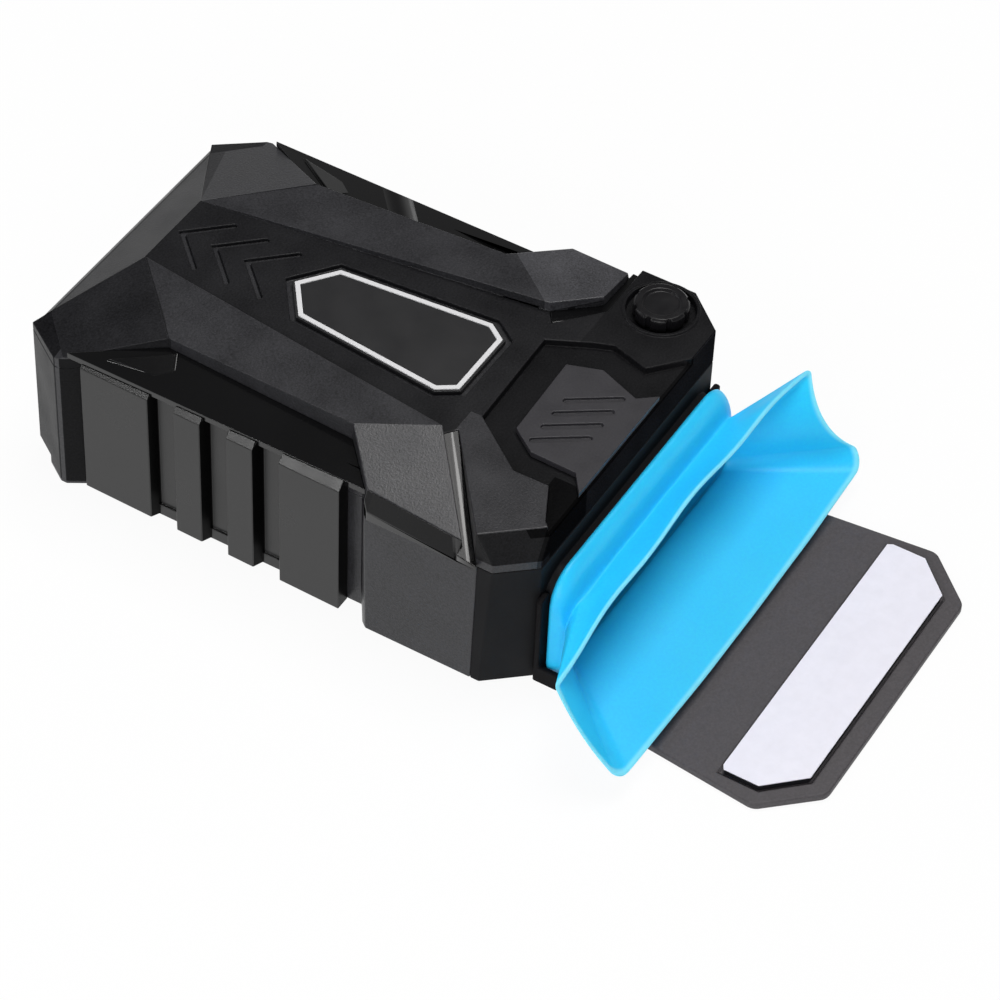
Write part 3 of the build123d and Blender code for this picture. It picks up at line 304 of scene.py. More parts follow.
def panel_material(finish):
    # Moulded ABS from a fine polished tool: satin, with a broad soft reflection and hardly any grain.
    # The walls between the blocks are painted nearly black: painted shade.
    return grained("black_abs_satin", finish.panel, spread=0.08, rough=0.30, rough_spread=0.04,
                   grain=0.5 * MM, depth=0.003 * MM, patch=14 * MM,
                   shader={"IOR": 1.5, "Specular IOR Level": 0.45},
                   regions=PANEL_PAINTED_SHADE)


# Rounded forms of the fins in millimetres: a place on the ridge, the direction across it, half width and
# height. The first is the ridge of the near fin, and the second the long sweep of both.
FIN_CURVES = (
    ((-29.3, -7.6, 38.0), (-0.64, 0.77, 0.0), 2.8, -1.1),
    ((-39.2, -20.0, 35.0), (0.0, 1.0, 0.0), 26.0, -2.6),
)


def trim_material(finish):
    # Moulded ABS from a mirror-polished tool: piano black, with sharp long reflections that are hardly
    # disturbed by the faint waves of the skin.
    return grained("black_abs_piano", finish.trim, spread=0.05, rough=0.12, rough_spread=0.03,
                   grain=1.2 * MM, depth=0.0015 * MM, patch=20 * MM,
                   shader={"IOR": 1.5, "Specular IOR Level": 0.4, "Coat Weight": 0.3,
                           "Coat Roughness": 0.06},
                   coves=FIN_CURVES)


def relief_material(finish):
    # The same spark-eroded ABS, a little lighter where hands rub it.
    return grained("dark_abs_relief", finish.relief, spread=0.2, rough=0.42, rough_spread=0.05,
                   grain=0.45 * MM, depth=0.012 * MM, patch=6 * MM,
                   shader={"IOR": 1.5, "Specular IOR Level": 0.4})


# Arms of the bracket, painted darker than its plate as painted shade, with their bounds in millimetres
ARM_PAINTED_SHADE = ((0.12, in_box, (-36.0, -33.9, -1.0), (36.0, -27.0, 27.0)),)


def bracket_material(finish):
    # Moulded dark grey ABS with a coarse even texture that scatters light: flat and slightly warm.
    # The grit is drawn at 0.5 mm, wider than the real one, so that it shows. The two arms are painted
    # black: painted shade.
    return grained("grey_abs_coarse", finish.bracket, spread=0.2, rough=0.55, rough_spread=0.05,
                   grain=0.5 * MM, depth=0.02 * MM, patch=11 * MM,
                   shader={"IOR": 1.5, "Specular IOR Level": 0.4},
                   regions=ARM_PAINTED_SHADE)


def knob_material(finish):
    # Moulded ABS knob, nearly black, with a light satin on its ring, worn smooth by fingers.
    return grained("black_abs_knob", shade(finish.relief, 0.25), spread=0.12, rough=0.34, rough_spread=0.06,
                   grain=0.4 * MM, depth=0.006 * MM, patch=3 * MM,
                   shader={"IOR": 1.5, "Specular IOR Level": 0.25})


def silicone_material(finish, lip_edge, lip_front):
    # Moulded silicone rubber: light goes a little way in, and reflections are soft.
    # A faint painted glow stands in for light that travels inside the thin walls, and the thin edge of the
    # lip is painted paler, a painted light for the light that it lets through.
    material = grained("blue_silicone", finish.hood, spread=0.05, rough=0.40, rough_spread=0.05,
                       grain=0.6 * MM, depth=0.004 * MM, patch=12 * MM,
                       shader={"IOR": 1.41, "Specular IOR Level": 0.4, "Subsurface Weight": 0.3,
                               "Subsurface Radius": (0.4, 1.0, 1.2), "Subsurface Scale": 1.4 * MM,
                               "Emission Color": rgba(finish.hood), "Emission Strength": 0.05})
    tree = material.node_tree
    place = add_node(tree, "ShaderNodeTexCoord").outputs["Object"]
    shift = add_node(tree, "ShaderNodeVectorMath", {"operation": "SUBTRACT"}, {1: lip_edge}, {0: place})
    ahead = add_node(tree, "ShaderNodeVectorMath", {"operation": "DOT_PRODUCT"}, {1: lip_front},
                     {0: shift.outputs[0]})
    edge = add_node(tree, "ShaderNodeMapRange", {"interpolation_type": "SMOOTHSTEP"},
                    {"From Min": LIP_GLOW[0], "From Max": LIP_GLOW[1]},
                    {"Value": ahead.outputs["Value"]})
    surface = next(node for node in tree.nodes if node.type == "BSDF_PRINCIPLED")
    source = surface.inputs["Base Color"].links[0].from_socket
    # Painted light: the lip's edge is mixed towards a paler blue
    light = add_node(tree, "ShaderNodeMix", {"data_type": "RGBA"}, {"B": rgba(finish.hood_edge_painted_light)},
                     {"Factor": edge.outputs[0], "A": source})
    tree.links.new(light.outputs["Result"], surface.inputs["Base Color"])
    return material


def liner_material(finish):
    # Siliconised release paper: white with a cool cast, faintly cockled, with a dry soft sheen.
    return grained("release_paper", finish.liner, spread=0.025, rough=0.5, rough_spread=0.06,
                   grain=2.2 * MM, depth=0.03 * MM, patch=14 * MM,
                   shader={"IOR": 1.45, "Specular IOR Level": 0.3})


def foam_material(finish):
    # Closed-cell polyethylene foam tape: black, with open pin holes on its cut edge.
    return grained("black_foam_tape", finish.foam, spread=0.3, rough=0.8, rough_spread=0.05,
                   grain=0.25 * MM, depth=0.05 * MM, patch=3 * MM,
                   shader={"IOR": 1.45, "Specular IOR Level": 0.2})


def badge_material(finish):
    # Printed polycarbonate label: deep charcoal ink under a satin film.
    return grained("charcoal_label", finish.badge, spread=0.06, rough=0.38, rough_spread=0.03,
                   grain=0.5 * MM, depth=0.002 * MM, patch=8 * MM,
                   shader={"IOR": 1.58, "Specular IOR Level": 0.4})


def line_material(finish):
    # Screen-printed white ink line: opaque, slightly raised, with a silky surface.
    return grained("white_ink", finish.line, spread=0.03, rough=0.45, rough_spread=0.04,
                   grain=0.3 * MM, depth=0.004 * MM, patch=5 * MM,
                   shader={"IOR": 1.5, "Specular IOR Level": 0.4})


def inner_material(finish):
    # Moulded black ABS of the inner pieces: plain satin, straight off the tool.
    return grained("black_abs_inner", shade(finish.panel, 0.8), spread=0.1, rough=0.45, rough_spread=0.05,
                   grain=0.6 * MM, depth=0.004 * MM, patch=9 * MM,
                   shader={"IOR": 1.53})


def impeller_material(finish):
    # Glass-filled PBT: dark grey and slightly streaked, with a dry satin.
    return grained("grey_pbt", shade(finish.bracket, 0.7), spread=0.15, rough=0.5, rough_spread=0.06,
                   grain=0.5 * MM, depth=0.006 * MM, patch=4 * MM,
                   shader={"IOR": 1.55})


def steel_material(finish):
    # Zinc-plated steel: bright cool grey with a fine crystalline mottle.
    return grained("zinc_plated_steel", linear("#B9BCC0"), spread=0.08, rough=0.3, rough_spread=0.06,
                   grain=0.3 * MM, depth=0.002 * MM, patch=2 * MM,
                   shader={"Metallic": 1.0})


def bronze_material(finish):
    # Sintered bronze: oil-soaked, brown gold, with tiny pores.
    return grained("sintered_bronze", linear("#9A6B35"), spread=0.15, rough=0.42, rough_spread=0.06,
                   grain=0.15 * MM, depth=0.01 * MM, patch=1.5 * MM,
                   shader={"Metallic": 1.0})


def copper_material(finish):
    # Enamelled copper wire: red brown under a clear glossy enamel.
    return grained("enamelled_copper", linear("#B3592A"), spread=0.12, rough=0.25, rough_spread=0.05,
                   grain=0.2 * MM, depth=0.02 * MM, patch=1.5 * MM,
                   shader={"Metallic": 1.0, "Coat Weight": 0.5, "Coat Roughness": 0.1})


def board_material(finish):
    # Glass-epoxy board under green solder mask: a smooth lacquer with the weave faint below.
    return grained("fr4_board", linear("#1E5A34"), spread=0.1, rough=0.28, rough_spread=0.04,
                   grain=0.5 * MM, depth=0.004 * MM, patch=2.5 * MM,
                   shader={"IOR": 1.55, "Coat Weight": 0.3})


def resin_material(finish):
    # Moulded epoxy of a chip: black, fine and dry.
    return grained("epoxy_resin", linear("#1B1B1D"), spread=0.15, rough=0.55, rough_spread=0.05,
                   grain=0.1 * MM, depth=0.004 * MM, patch=1.5 * MM,
                   shader={"IOR": 1.55})


def can_material(finish):
    # Drawn aluminium can of a capacitor: silver grey with a soft brushed gloss.
    return grained("drawn_aluminium", linear("#A9ADB1"), spread=0.06, rough=0.32, rough_spread=0.05,
                   grain=0.3 * MM, depth=0.002 * MM, patch=2 * MM,
                   shader={"Metallic": 1.0})


def magnet_material(finish):
    # Bonded ferrite: charcoal, dull and slightly gritty.
    return grained("bonded_ferrite", linear("#2B2A2C"), spread=0.15, rough=0.6, rough_spread=0.06,
                   grain=0.2 * MM, depth=0.01 * MM, patch=2 * MM,
                   shader={"IOR": 1.6})


def rubber_material(finish):
    # Moulded nitrile rubber feet: black, dry, with a trace of bloom.
    return grained("nitrile_rubber", linear("#1D1D1E"), spread=0.15, rough=0.72, rough_spread=0.06,
                   grain=0.3 * MM, depth=0.01 * MM, patch=4 * MM,
                   shader={"IOR": 1.52, "Specular IOR Level": 0.3})


FINISHES = (
    (housing_material, "housing_abs", ("top_shell", "bottom_shell")),
    (bezel_material, "housing_abs", ("front_bezel",)),
    (panel_material, "panel_abs", ("side_panel_left", "side_panel_right")),
    (trim_material, "gloss_trim", ("side_strip_left", "side_strip_right", "corner_fin_left",
                                   "corner_fin_right")),
    (relief_material, "relief_abs", ("relief_inlay",)),
    (badge_material, "badge_face", ("badge_plate",)),
    (line_material, "badge_line", ("badge_border",)),
    (bracket_material, "bracket_abs", ("support_bracket",)),
    (knob_material, "knob_abs", ("speed_knob",)),
    (inner_material, "inner_abs", ("fan_casing", "fan_cover", "rear_grille", "power_socket")),
    (impeller_material, "impeller_abs", ("impeller",)),
    (steel_material, "steel", ("fan_screws", "case_screws", "board_screws", "knob_shaft", "fan_shaft",
                               "potentiometer", "stator_core")),
    (bronze_material, "bronze", ("bearing_sleeve",)),
    (copper_material, "copper", ("stator_windings",)),
    (board_material, "circuit_board", ("control_board", "fan_board")),
    (resin_material, "chip_resin", ("control_chip",)),
    (can_material, "can_aluminium", ("capacitor",)),
    (magnet_material, "magnet", ("rotor_magnet",)),
    (rubber_material, "rubber", ("rubber_feet",)),
)

# Pieces with sharp moulded edges, and the radius that their tools leave
EASED = (
    (("bottom_shell", "front_bezel"), 0.30 * MM),
    (("top_shell",), 0.20 * MM),
    (("side_panel_left", "side_panel_right"), 0.18 * MM),
    (("side_strip_left", "side_strip_right", "corner_fin_left", "corner_fin_right"), 0.20 * MM),
    (("relief_inlay", "speed_knob", "rear_grille"), 0.15 * MM),
    (("support_bracket",), 0.40 * MM),
    (("badge_plate", "badge_border"), 0.06 * MM),
)


def ease_edges(piece, radius):
    """Rounds the sharp edges of a frame piece with modifiers, so that they catch light."""
    weld = piece.modifiers.new("weld", "WELD")
    weld.merge_threshold = JOIN_WITHIN
    flat = piece.modifiers.new("flat_faces", "DECIMATE")
    flat.decimate_type = "DISSOLVE"
    flat.angle_limit = FLAT_WITHIN
    bevel = piece.modifiers.new("eased_edges", "BEVEL")
    bevel.width = radius
    bevel.segments = 2
    bevel.limit_method = "ANGLE"
    bevel.angle_limit = SHARP_FROM
    bevel.use_clamp_overlap = False
    bevel.harden_normals = True


def section(half_width, low, high, top_radius, bottom_radius, steps, crown=0, near=0, far=0, sag=0):
    """Points (across, up) round a mouth, as many on each stretch at every size.

    Crown bends the top up, sag bends the bottom down, and near and far bend their sides in."""
    along, round_corner, upright = steps
    points = []

    def stretch(start, end, count, bend):
        """A bent side from start to end, without its last point."""
        for index in range(count):
            share = index / count
            bow = 4 * share * (1 - share)
            points.append((start[0] + (end[0] - start[0]) * share + bend[0] * bow,
                           start[1] + (end[1] - start[1]) * share + bend[1] * bow))

    def corner(centre, radius, start):
        """A quarter turn to the right from the angle start, in degrees, without its last point."""
        for index in range(round_corner):
            angle = math.radians(start - 90 * index / round_corner)
            points.append((centre[0] + radius * math.cos(angle), centre[1] + radius * math.sin(angle)))

    top_inner = half_width - top_radius
    bottom_inner = half_width - bottom_radius
    side_high = high - top_radius
    side_low = low + bottom_radius
    stretch((-top_inner, high), (top_inner, high), along, (0, crown))
    corner((top_inner, side_high), top_radius, 90)
    stretch((half_width, side_high), (half_width, side_low), upright, (-far, 0))
    corner((bottom_inner, side_low), bottom_radius, 0)
    stretch((bottom_inner, low), (-bottom_inner, low), along, (0, -sag))
    corner((-bottom_inner, side_low), bottom_radius, -90)
    stretch((-half_width, side_low), (-half_width, side_high), upright, (near, 0))
    corner((-top_inner, side_high), top_radius, 180)
    return points


def between(first, second, share):
    """A ring of points that lies a share of the way from one ring to another."""
    return [a.lerp(b, share) for a, b in zip(first, second)]


def dressed(mesh, material, smooth=True):
    """An object in the scene from a mesh, with its name and one material."""
    mesh.polygons.foreach_set("use_smooth", [smooth] * len(mesh.polygons))
    mesh.materials.append(material)
    piece = bpy.data.objects.new(mesh.name, mesh)
    bpy.context.scene.collection.objects.link(piece)
    return piece


def mesh_object(name, vertices, faces, material, smooth=True):
    """A mesh object from points and faces, with one material."""
    mesh = bpy.data.meshes.new(name)
    mesh.from_pydata([tuple(v) for v in vertices], [], faces)
    mesh.validate()
    return dressed(mesh, material, smooth)


def sew(rings):
    """Quads between closed rings of the same number of points, and from the last ring to the first."""
    count = len(rings[0])
    faces = []
    for step in range(len(rings)):
        first = step * count
        second = ((step + 1) % len(rings)) * count
        for index in range(count):
            after = (index + 1) % count
            faces.append((first + index, first + after, second + after, second + index))
    return faces


def lip_rise(hood):
    """The middle of the lip's lower edge, and the way from it to the middle of the upper edge."""
    bottom = Vector((0, hood.lip_bottom_y, hood.lip_bottom_z))
    return bottom, Vector((0, hood.lip_top_y, hood.lip_top_z)) - bottom


def hood_rings(hood, inset, lip_inset):
    """Rings of the hood from its seat on the spigot to its lip, on the outside or inset from it."""
    steps = (hood.steps_along, hood.steps_corner, hood.steps_side)
    rings = []

    def neck(y, swell, fall):
        """Adds a ring that swells out by a length and falls to the waist by a share."""
        flat = section(
            hood.neck_half_width - inset + swell - fall * hood.waist_side,
            hood.neck_low + inset - swell + fall * hood.waist_bottom,
            hood.neck_high - inset + swell - fall * hood.waist_top,
            hood.neck_top_radius - inset + swell, hood.neck_bottom_radius - inset + swell, steps)
        rings.append([Vector((x, y, z)) for x, z in flat])

    neck(HOOD_HIGH.y, 0.0, 0.0)
    for index in range(hood.neck_rings + 1):
        angle = math.pi / 2 * index / hood.neck_rings
        neck(hood.bulge_y + (hood.waist_y - hood.bulge_y) * math.sin(angle), hood.bulge * math.cos(angle),
             1 - math.cos(angle))

    bottom, rise = lip_rise(hood)
    up = rise.normalized()
    tall = rise.length
    flat = section(hood.lip_half_width - lip_inset, lip_inset, tall - lip_inset,
                   hood.lip_top_radius, hood.lip_bottom_radius, steps,
                   crown=hood.crown, near=-hood.near_swell, far=hood.far_hollow, sag=hood.sag)
    lip = []
    for x, v in flat:
        turns = x / hood.wave_length + WAVE_SHIFT
        wave = hood.wave * math.sin(2 * math.pi * turns) * max(0.0, v / tall) ** 2
        lip.append(Vector((x, 0, 0)) + bottom + up * (v + wave))
    waist = len(rings) - 1
    for index in range(1, hood.flap_rings + 1):
        rings.append(between(rings[waist], lip, index / hood.flap_rings))
    first = waist - WAIST_REACH
    after = waist + WAIST_REACH + 1
    for _ in range(hood.valley_smoothing):
        rings[first:after] = [between(rings[r], between(rings[r - 1], rings[r + 1], 0.5), 0.5)
                              for r in range(first, after)]
    return rings


def rim_between(outer, inner, forward):
    """Half-round rings that join the outer and the inner lip."""
    rings = []
    for index in range(1, RIM_STEPS):
        angle = math.pi * index / RIM_STEPS
        ring = []
        for a, b, direction in zip(outer, inner, forward):
            middle = (a + b) / 2
            half = (a - b) / 2
            ring.append(middle + half * math.cos(angle) + direction * half.length * math.sin(angle))
        rings.append(ring)
    return rings


def ruffled(point, hood):
    """A point of the hood moved by slow noise, as a soft moulding is never quite true off its seat."""
    free = min(1.0, max(0.0, (HOOD_HIGH.y - point.y) / WANDER_FROM))
    return point + noise.noise_vector(point / hood.ruffle_size) * (hood.ruffle * free)


HOOD_LOW, HOOD_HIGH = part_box("suction_hood")
PAD_LOW, PAD_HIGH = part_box("pad_liner")
FOAM_LOW, FOAM_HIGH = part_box("pad_foam")


class HoodShape(bpy.types.PropertyGroup):
    """Sizes of the soft hood. Its seat and its reach come from the frame."""

    wall: FloatProperty(name="Wall", description="Thickness of the silicone at the neck",
                        default=1.3 * MM, unit="LENGTH")
    lip_wall: FloatProperty(name="Lip wall", description="Thickness of the silicone at its free edge",
                            default=0.8 * MM, unit="LENGTH")
    neck_half_width: FloatProperty(name="Neck half width", description="Outside of the neck on its seat",
                                   default=32.4 * MM, unit="LENGTH")
    neck_low: FloatProperty(name="Neck low", description="Lowest height of the neck on its seat",
                            default=3.8 * MM, unit="LENGTH")
    neck_high: FloatProperty(name="Neck high", description="Highest height of the neck on its seat",
                             default=28.6 * MM, unit="LENGTH")
    neck_top_radius: FloatProperty(name="Neck top radius", description="Corner radius at the neck's top",
                                   default=6.2 * MM, unit="LENGTH")
    neck_bottom_radius: FloatProperty(name="Neck bottom radius",
                                      description="Corner radius at the neck's bottom",
                                      default=3.6 * MM, unit="LENGTH")
    bulge: FloatProperty(name="Bulge", description="How far the rolled neck swells",
                         default=1.1 * MM, unit="LENGTH")
    bulge_y: FloatProperty(name="Bulge place", description="Where along Y the roll is fullest",
                           default=-30.3 * MM, unit="LENGTH")
    waist_y: FloatProperty(name="Waist place", description="Where along Y the roll meets the flaps",
                           default=-33.6 * MM, unit="LENGTH")
    waist_top: FloatProperty(name="Waist, top", description="How far the top dips behind the roll",
                             default=5.8 * MM, unit="LENGTH")
    waist_side: FloatProperty(name="Waist, sides", description="How far the sides step out behind the roll",
                              default=-0.2 * MM, unit="LENGTH")
    waist_bottom: FloatProperty(name="Waist, bottom",
                                description="How far the bottom rises behind the roll",
                                default=2.8 * MM, unit="LENGTH")
    lip_top_y: FloatProperty(name="Lip top place", description="Where along Y the lip's upper edge lies",
                             default=-40.8 * MM, unit="LENGTH")
    lip_top_z: FloatProperty(name="Lip top height", description="Height of the lip's upper corners",
                             default=23.6 * MM, unit="LENGTH")
    lip_bottom_z: FloatProperty(name="Lip bottom height", description="Height of the lip's lower corners",
                                default=4.7 * MM, unit="LENGTH")
    lip_bottom_y: FloatProperty(name="Lip bottom place", description="Where along Y the lower corners lie",
                                default=-55.6 * MM, unit="LENGTH")
    lip_half_width: FloatProperty(name="Lip half width",
                                  description="Half of the mouth's width at its lip",
                                  default=HOOD_HIGH.x, unit="LENGTH")
    lip_top_radius: FloatProperty(name="Lip top radius", description="Corner radius at the top of the lip",
                                  default=0.9 * MM, unit="LENGTH")
    lip_bottom_radius: FloatProperty(name="Lip bottom radius",
                                     description="Corner radius at the bottom of the lip",
                                     default=4.0 * MM, unit="LENGTH")
    crown: FloatProperty(name="Crown", description="How far the top of the lip arches",
                         default=2.4 * MM, unit="LENGTH")
    near_swell: FloatProperty(name="Near swell", description="How far the near side of the lip bows out",
                              default=0.9 * MM, unit="LENGTH")
    far_hollow: FloatProperty(name="Far hollow", description="How far the far side of the lip folds in",
                              default=3.6 * MM, unit="LENGTH")
    sag: FloatProperty(name="Sag", description="How far the lower edge of the lip hangs",
                       default=1.0 * MM, unit="LENGTH")
    wave: FloatProperty(name="Wave", description="How far the lip's upper edge waves up and down",
                        default=0.35 * MM, unit="LENGTH")
    wave_length: FloatProperty(name="Wave length", description="Length of one wave of the upper edge",
                               default=33 * MM, unit="LENGTH")
    ruffle: FloatProperty(name="Ruffle", description="How far the soft walls wander",
                          default=0.10 * MM, unit="LENGTH")
    ruffle_size: FloatProperty(name="Ruffle size", description="Size of one wave of the wall",
                               default=14 * MM, unit="LENGTH")
    ruffle_seed: IntProperty(name="Ruffle seed", description="Seed of the wandering, the same at each run",
                             default=5, min=1)
    steps_along: IntProperty(name="Points along", description="Points on each long edge", default=48)
    steps_corner: IntProperty(name="Points on corners", description="Points on each corner", default=8)
    steps_side: IntProperty(name="Points on sides", description="Points on each short edge", default=18)
    neck_rings: IntProperty(name="Neck rings", description="Rings over the roll", default=9)
    flap_rings: IntProperty(name="Flap rings", description="Rings from the waist to the lip", default=24)
    valley_smoothing: IntProperty(name="Valley smoothing", description="Rounds of smoothing at the waist",
                                  default=3)


class PadShape(bpy.types.PropertyGroup):
    """Sizes of the adhesive pad's sheet and foam."""

    corner: FloatProperty(name="Corner", description="Radius of the cut corners", default=1.2 * MM,
                          unit="LENGTH")
    cockle: FloatProperty(name="Cockle", description="How far the paper lifts in soft waves",
                          default=0.05 * MM, unit="LENGTH")
    cockle_size: FloatProperty(name="Cockle size", description="Size of one wave of the paper",
                               default=9 * MM, unit="LENGTH")
    grid: FloatProperty(name="Grid", description="Distance between the sheet's points", default=1.0 * MM,
                        unit="LENGTH")
    foam_inset: FloatProperty(name="Foam inset", description="How far the foam stands back from the paper",
                              default=0.2 * MM, unit="LENGTH")


class FanFinish(bpy.types.PropertyGroup):
    """Colours of the finishes."""

    housing: FloatVectorProperty(name="Housing", description="Textured black ABS", subtype="COLOR",
                                 default=linear("#28282B"))
    panel: FloatVectorProperty(name="Side panels", description="Satin black ABS", subtype="COLOR",
                               default=linear("#1C1C1C"))
    trim: FloatVectorProperty(name="Trims", description="Piano black ABS", subtype="COLOR",
                              default=linear("#0B0B0C"))
    relief: FloatVectorProperty(name="Relief and knob", description="Lighter textured ABS",
                                subtype="COLOR", default=linear("#2B2A2E"))
    bracket: FloatVectorProperty(name="Bracket", description="Dark grey ABS", subtype="COLOR",
                                 default=linear("#474447"))
    hood: FloatVectorProperty(name="Hood", description="Blue silicone", subtype="COLOR",
                              default=linear("#2BC6FF"))
    # Painted light: the paler colour of the lip's thin edge, where light comes through
    hood_edge_painted_light: FloatVectorProperty(name="Hood edge", description="Thin lip of the silicone",
                                   subtype="COLOR", default=linear("#7FDFFF"))
    liner: FloatVectorProperty(name="Pad liner", description="Release paper", subtype="COLOR",
                               default=linear("#EBEAF4"))
    foam: FloatVectorProperty(name="Pad foam", description="Foam tape", subtype="COLOR",
                              default=linear("#17171B"))
    badge: FloatVectorProperty(name="Badge", description="Label ink", subtype="COLOR",
                               default=linear("#161618"))
    line: FloatVectorProperty(name="Badge line", description="White ink", subtype="COLOR",
                              default=linear("#D6D6D8"))


class FanStage(bpy.types.PropertyGroup):
    """Camera and studio."""

    azimuth: FloatProperty(name="Azimuth", description="Camera's turn round the object, 0 looks along +Y",
                           default=math.radians(-61.0), unit="ROTATION")
    elevation: FloatProperty(name="Elevation", description="Camera's height above the horizon",
                             default=math.radians(46.0), unit="ROTATION")
    roll: FloatProperty(name="Roll", description="Camera's roll about its own axis",
                        default=math.radians(2.7), unit="ROTATION")
    distance: FloatProperty(name="Distance", description="Camera's distance from its target",
                            default=0.8, unit="LENGTH")
    target_height: FloatProperty(name="Target height", description="Height of the point it looks at",
                                 default=6.3 * MM, unit="LENGTH")
    lens: FloatProperty(name="Lens", description="Focal length in millimetres on a 36 mm sensor",
                        default=145.26, min=1.0)
    paper_lift: FloatProperty(name="Paper lift",
                              description="Share of the floor's own white that the lens sees",
                              default=0.94, min=0.0, max=1.0)
    horizon: FloatProperty(name="Horizon", description="Strength of the light from the sweep's rise",
                           default=0.52)
    ceiling: FloatProperty(name="Ceiling", description="Strength of the light from above the sweep",
                           default=0.10)
    paper: FloatVectorProperty(name="Paper", description="Backdrop paper", subtype="COLOR",
                               default=linear("#F4F4F4"))
    paper_reach: FloatProperty(name="Paper reach", description="How far the floor goes from the middle",
                               default=4.0, unit="LENGTH")


class COOLINGFAN_OT_finish(bpy.types.Operator):
    """Gives every rigid piece of the frame its material and eased edges"""

    bl_idname = "coolingfan.finish"
    bl_label = "Finish the rigid pieces"

    def execute(self, context):
        finish = context.scene.fan_finish
        for make, slot, nodes in FINISHES:
            material = make(finish)
            for name in nodes:
                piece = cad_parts[name]
                piece.material_slots[0].material = material
        for nodes, radius in EASED:
            for name in nodes:
                ease_edges(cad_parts[name], radius)
        return {"FINISHED"}


class COOLINGFAN_OT_hood(bpy.types.Operator):
    """Builds the soft funnel with its rolled neck, flaps and thin lip"""

    bl_idname = "coolingfan.hood"
    bl_label = "Build the hood"

    def execute(self, context):
        hood = context.scene.fan_hood
        noise.seed_set(hood.ruffle_seed)
        outer = hood_rings(hood, 0.0, 0.0)
        inner = hood_rings(hood, hood.wall, hood.lip_wall)
        forward = [(a - b).normalized() for a, b in zip(outer[-1], outer[-2])]
        rings = outer + rim_between(outer[-1], inner[-1], forward) + inner[::-1]
        points = [ruffled(p, hood) for ring in rings for p in ring]
        edge, rise = lip_rise(hood)
        front = Vector((0, -rise.z, rise.y)).normalized()
        piece = mesh_object("hood_silicone", points, sew(rings),
                            silicone_material(context.scene.fan_finish, edge, front))
        bm = bmesh.new()
        bm.from_mesh(piece.data)
        bmesh.ops.recalc_face_normals(bm, faces=bm.faces)
        bm.to_mesh(piece.data)
        bm.free()
        rounded = piece.modifiers.new("soft_surface", "SUBSURF")
        rounded.levels = 1
        rounded.render_levels = 1
        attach(piece, "housing")
        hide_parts("suction_hood")
        return {"FINISHED"}


def plan_corners(node, level):
    """Corners of a flat piece in plan, in order round its middle, read from its frame mesh."""
    found = {(round(v.co.x, PLAN_DIGITS), round(v.co.y, PLAN_DIGITS))
             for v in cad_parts[node].data.vertices if abs(v.co.z - level) < LEVEL_WITHIN}
    middle = (sum(x for x, y in found) / len(found), sum(y for x, y in found) / len(found))
    return sorted(found, key=lambda p: math.atan2(p[1] - middle[1], p[0] - middle[0]))


def rounded_plan(corners, inset, radius):
    """A plan outline inset from its corners, with each corner rounded."""
    count = len(corners)
    points = []
    for index in range(count):
        here = Vector(corners[index])
        before = (Vector(corners[index - 1]) - here).normalized()
        after = (Vector(corners[(index + 1) % count]) - here).normalized()
        bisector = (before + after).normalized()
        sine = abs(before.x * bisector.y - before.y * bisector.x)
        here = here + bisector * inset / sine
        cut = radius * math.sqrt(1 - sine * sine) / sine
        start = here + before * cut
        end = here + after * cut
        centre = here + bisector * radius / sine
        first = math.atan2(start.y - centre.y, start.x - centre.x)
        turn = math.atan2(end.y - centre.y, end.x - centre.x) - first
        turn = (turn + math.pi) % (2 * math.pi) - math.pi
        for step in range(CORNER_STEPS + 1):
            angle = first + turn * step / CORNER_STEPS
            points.append(centre + Vector((math.cos(angle), math.sin(angle))) * radius)
    return points


def slab(name, outline, low, high, grid, material, lift=None):
    """A flat piece on a plan outline, with a grid on top that lift may raise point by point."""
    bm = bmesh.new()
    xs = [p.x for p in outline]
    ys = [p.y for p in outline]
    size = Vector((max(xs) - min(xs), max(ys) - min(ys)))
    centre = Vector(((max(xs) + min(xs)) / 2, (max(ys) + min(ys)) / 2))
    # A grid of one metre is cut finely enough for the size that it gets below
    bmesh.ops.create_grid(bm, x_segments=round((max(xs) - min(xs)) / grid),
                          y_segments=round((max(ys) - min(ys)) / grid), size=0.5)
    for v in bm.verts:
        v.co = Vector((centre.x + v.co.x * size.x, centre.y + v.co.y * size.y, high))
    for index, point in enumerate(outline):
        after = outline[(index + 1) % len(outline)]
        side = after - point
        if side.length < NO_LENGTH:
            continue
        outward = Vector((side.y, -side.x, 0))
        bmesh.ops.bisect_plane(bm, geom=bm.verts[:] + bm.edges[:] + bm.faces[:], dist=NO_DISTANCE,
                               plane_co=(point.x, point.y, high), plane_no=outward, clear_outer=True)
    rim = [edge for edge in bm.edges if edge.is_boundary]
    made = bmesh.ops.extrude_edge_only(bm, edges=rim)
    bottom = [v for v in made["geom"] if isinstance(v, bmesh.types.BMVert)]
    for v in bottom:
        v.co.z = low
    bmesh.ops.contextual_create(bm, geom=[e for e in bm.edges if e.is_boundary])
    if lift:
        for v in set(bm.verts) - set(bottom):
            v.co.z += lift(v.co)
    bmesh.ops.recalc_face_normals(bm, faces=bm.faces)
    mesh = bpy.data.meshes.new(name)
    bm.to_mesh(mesh)
    bm.free()
    piece = dressed(mesh, material)
    crisp = piece.modifiers.new("crisp_edge", "BEVEL")
    crisp.width = CRISP_EDGE
    crisp.segments = 2
    crisp.limit_method = "ANGLE"
    crisp.harden_normals = True
    return piece


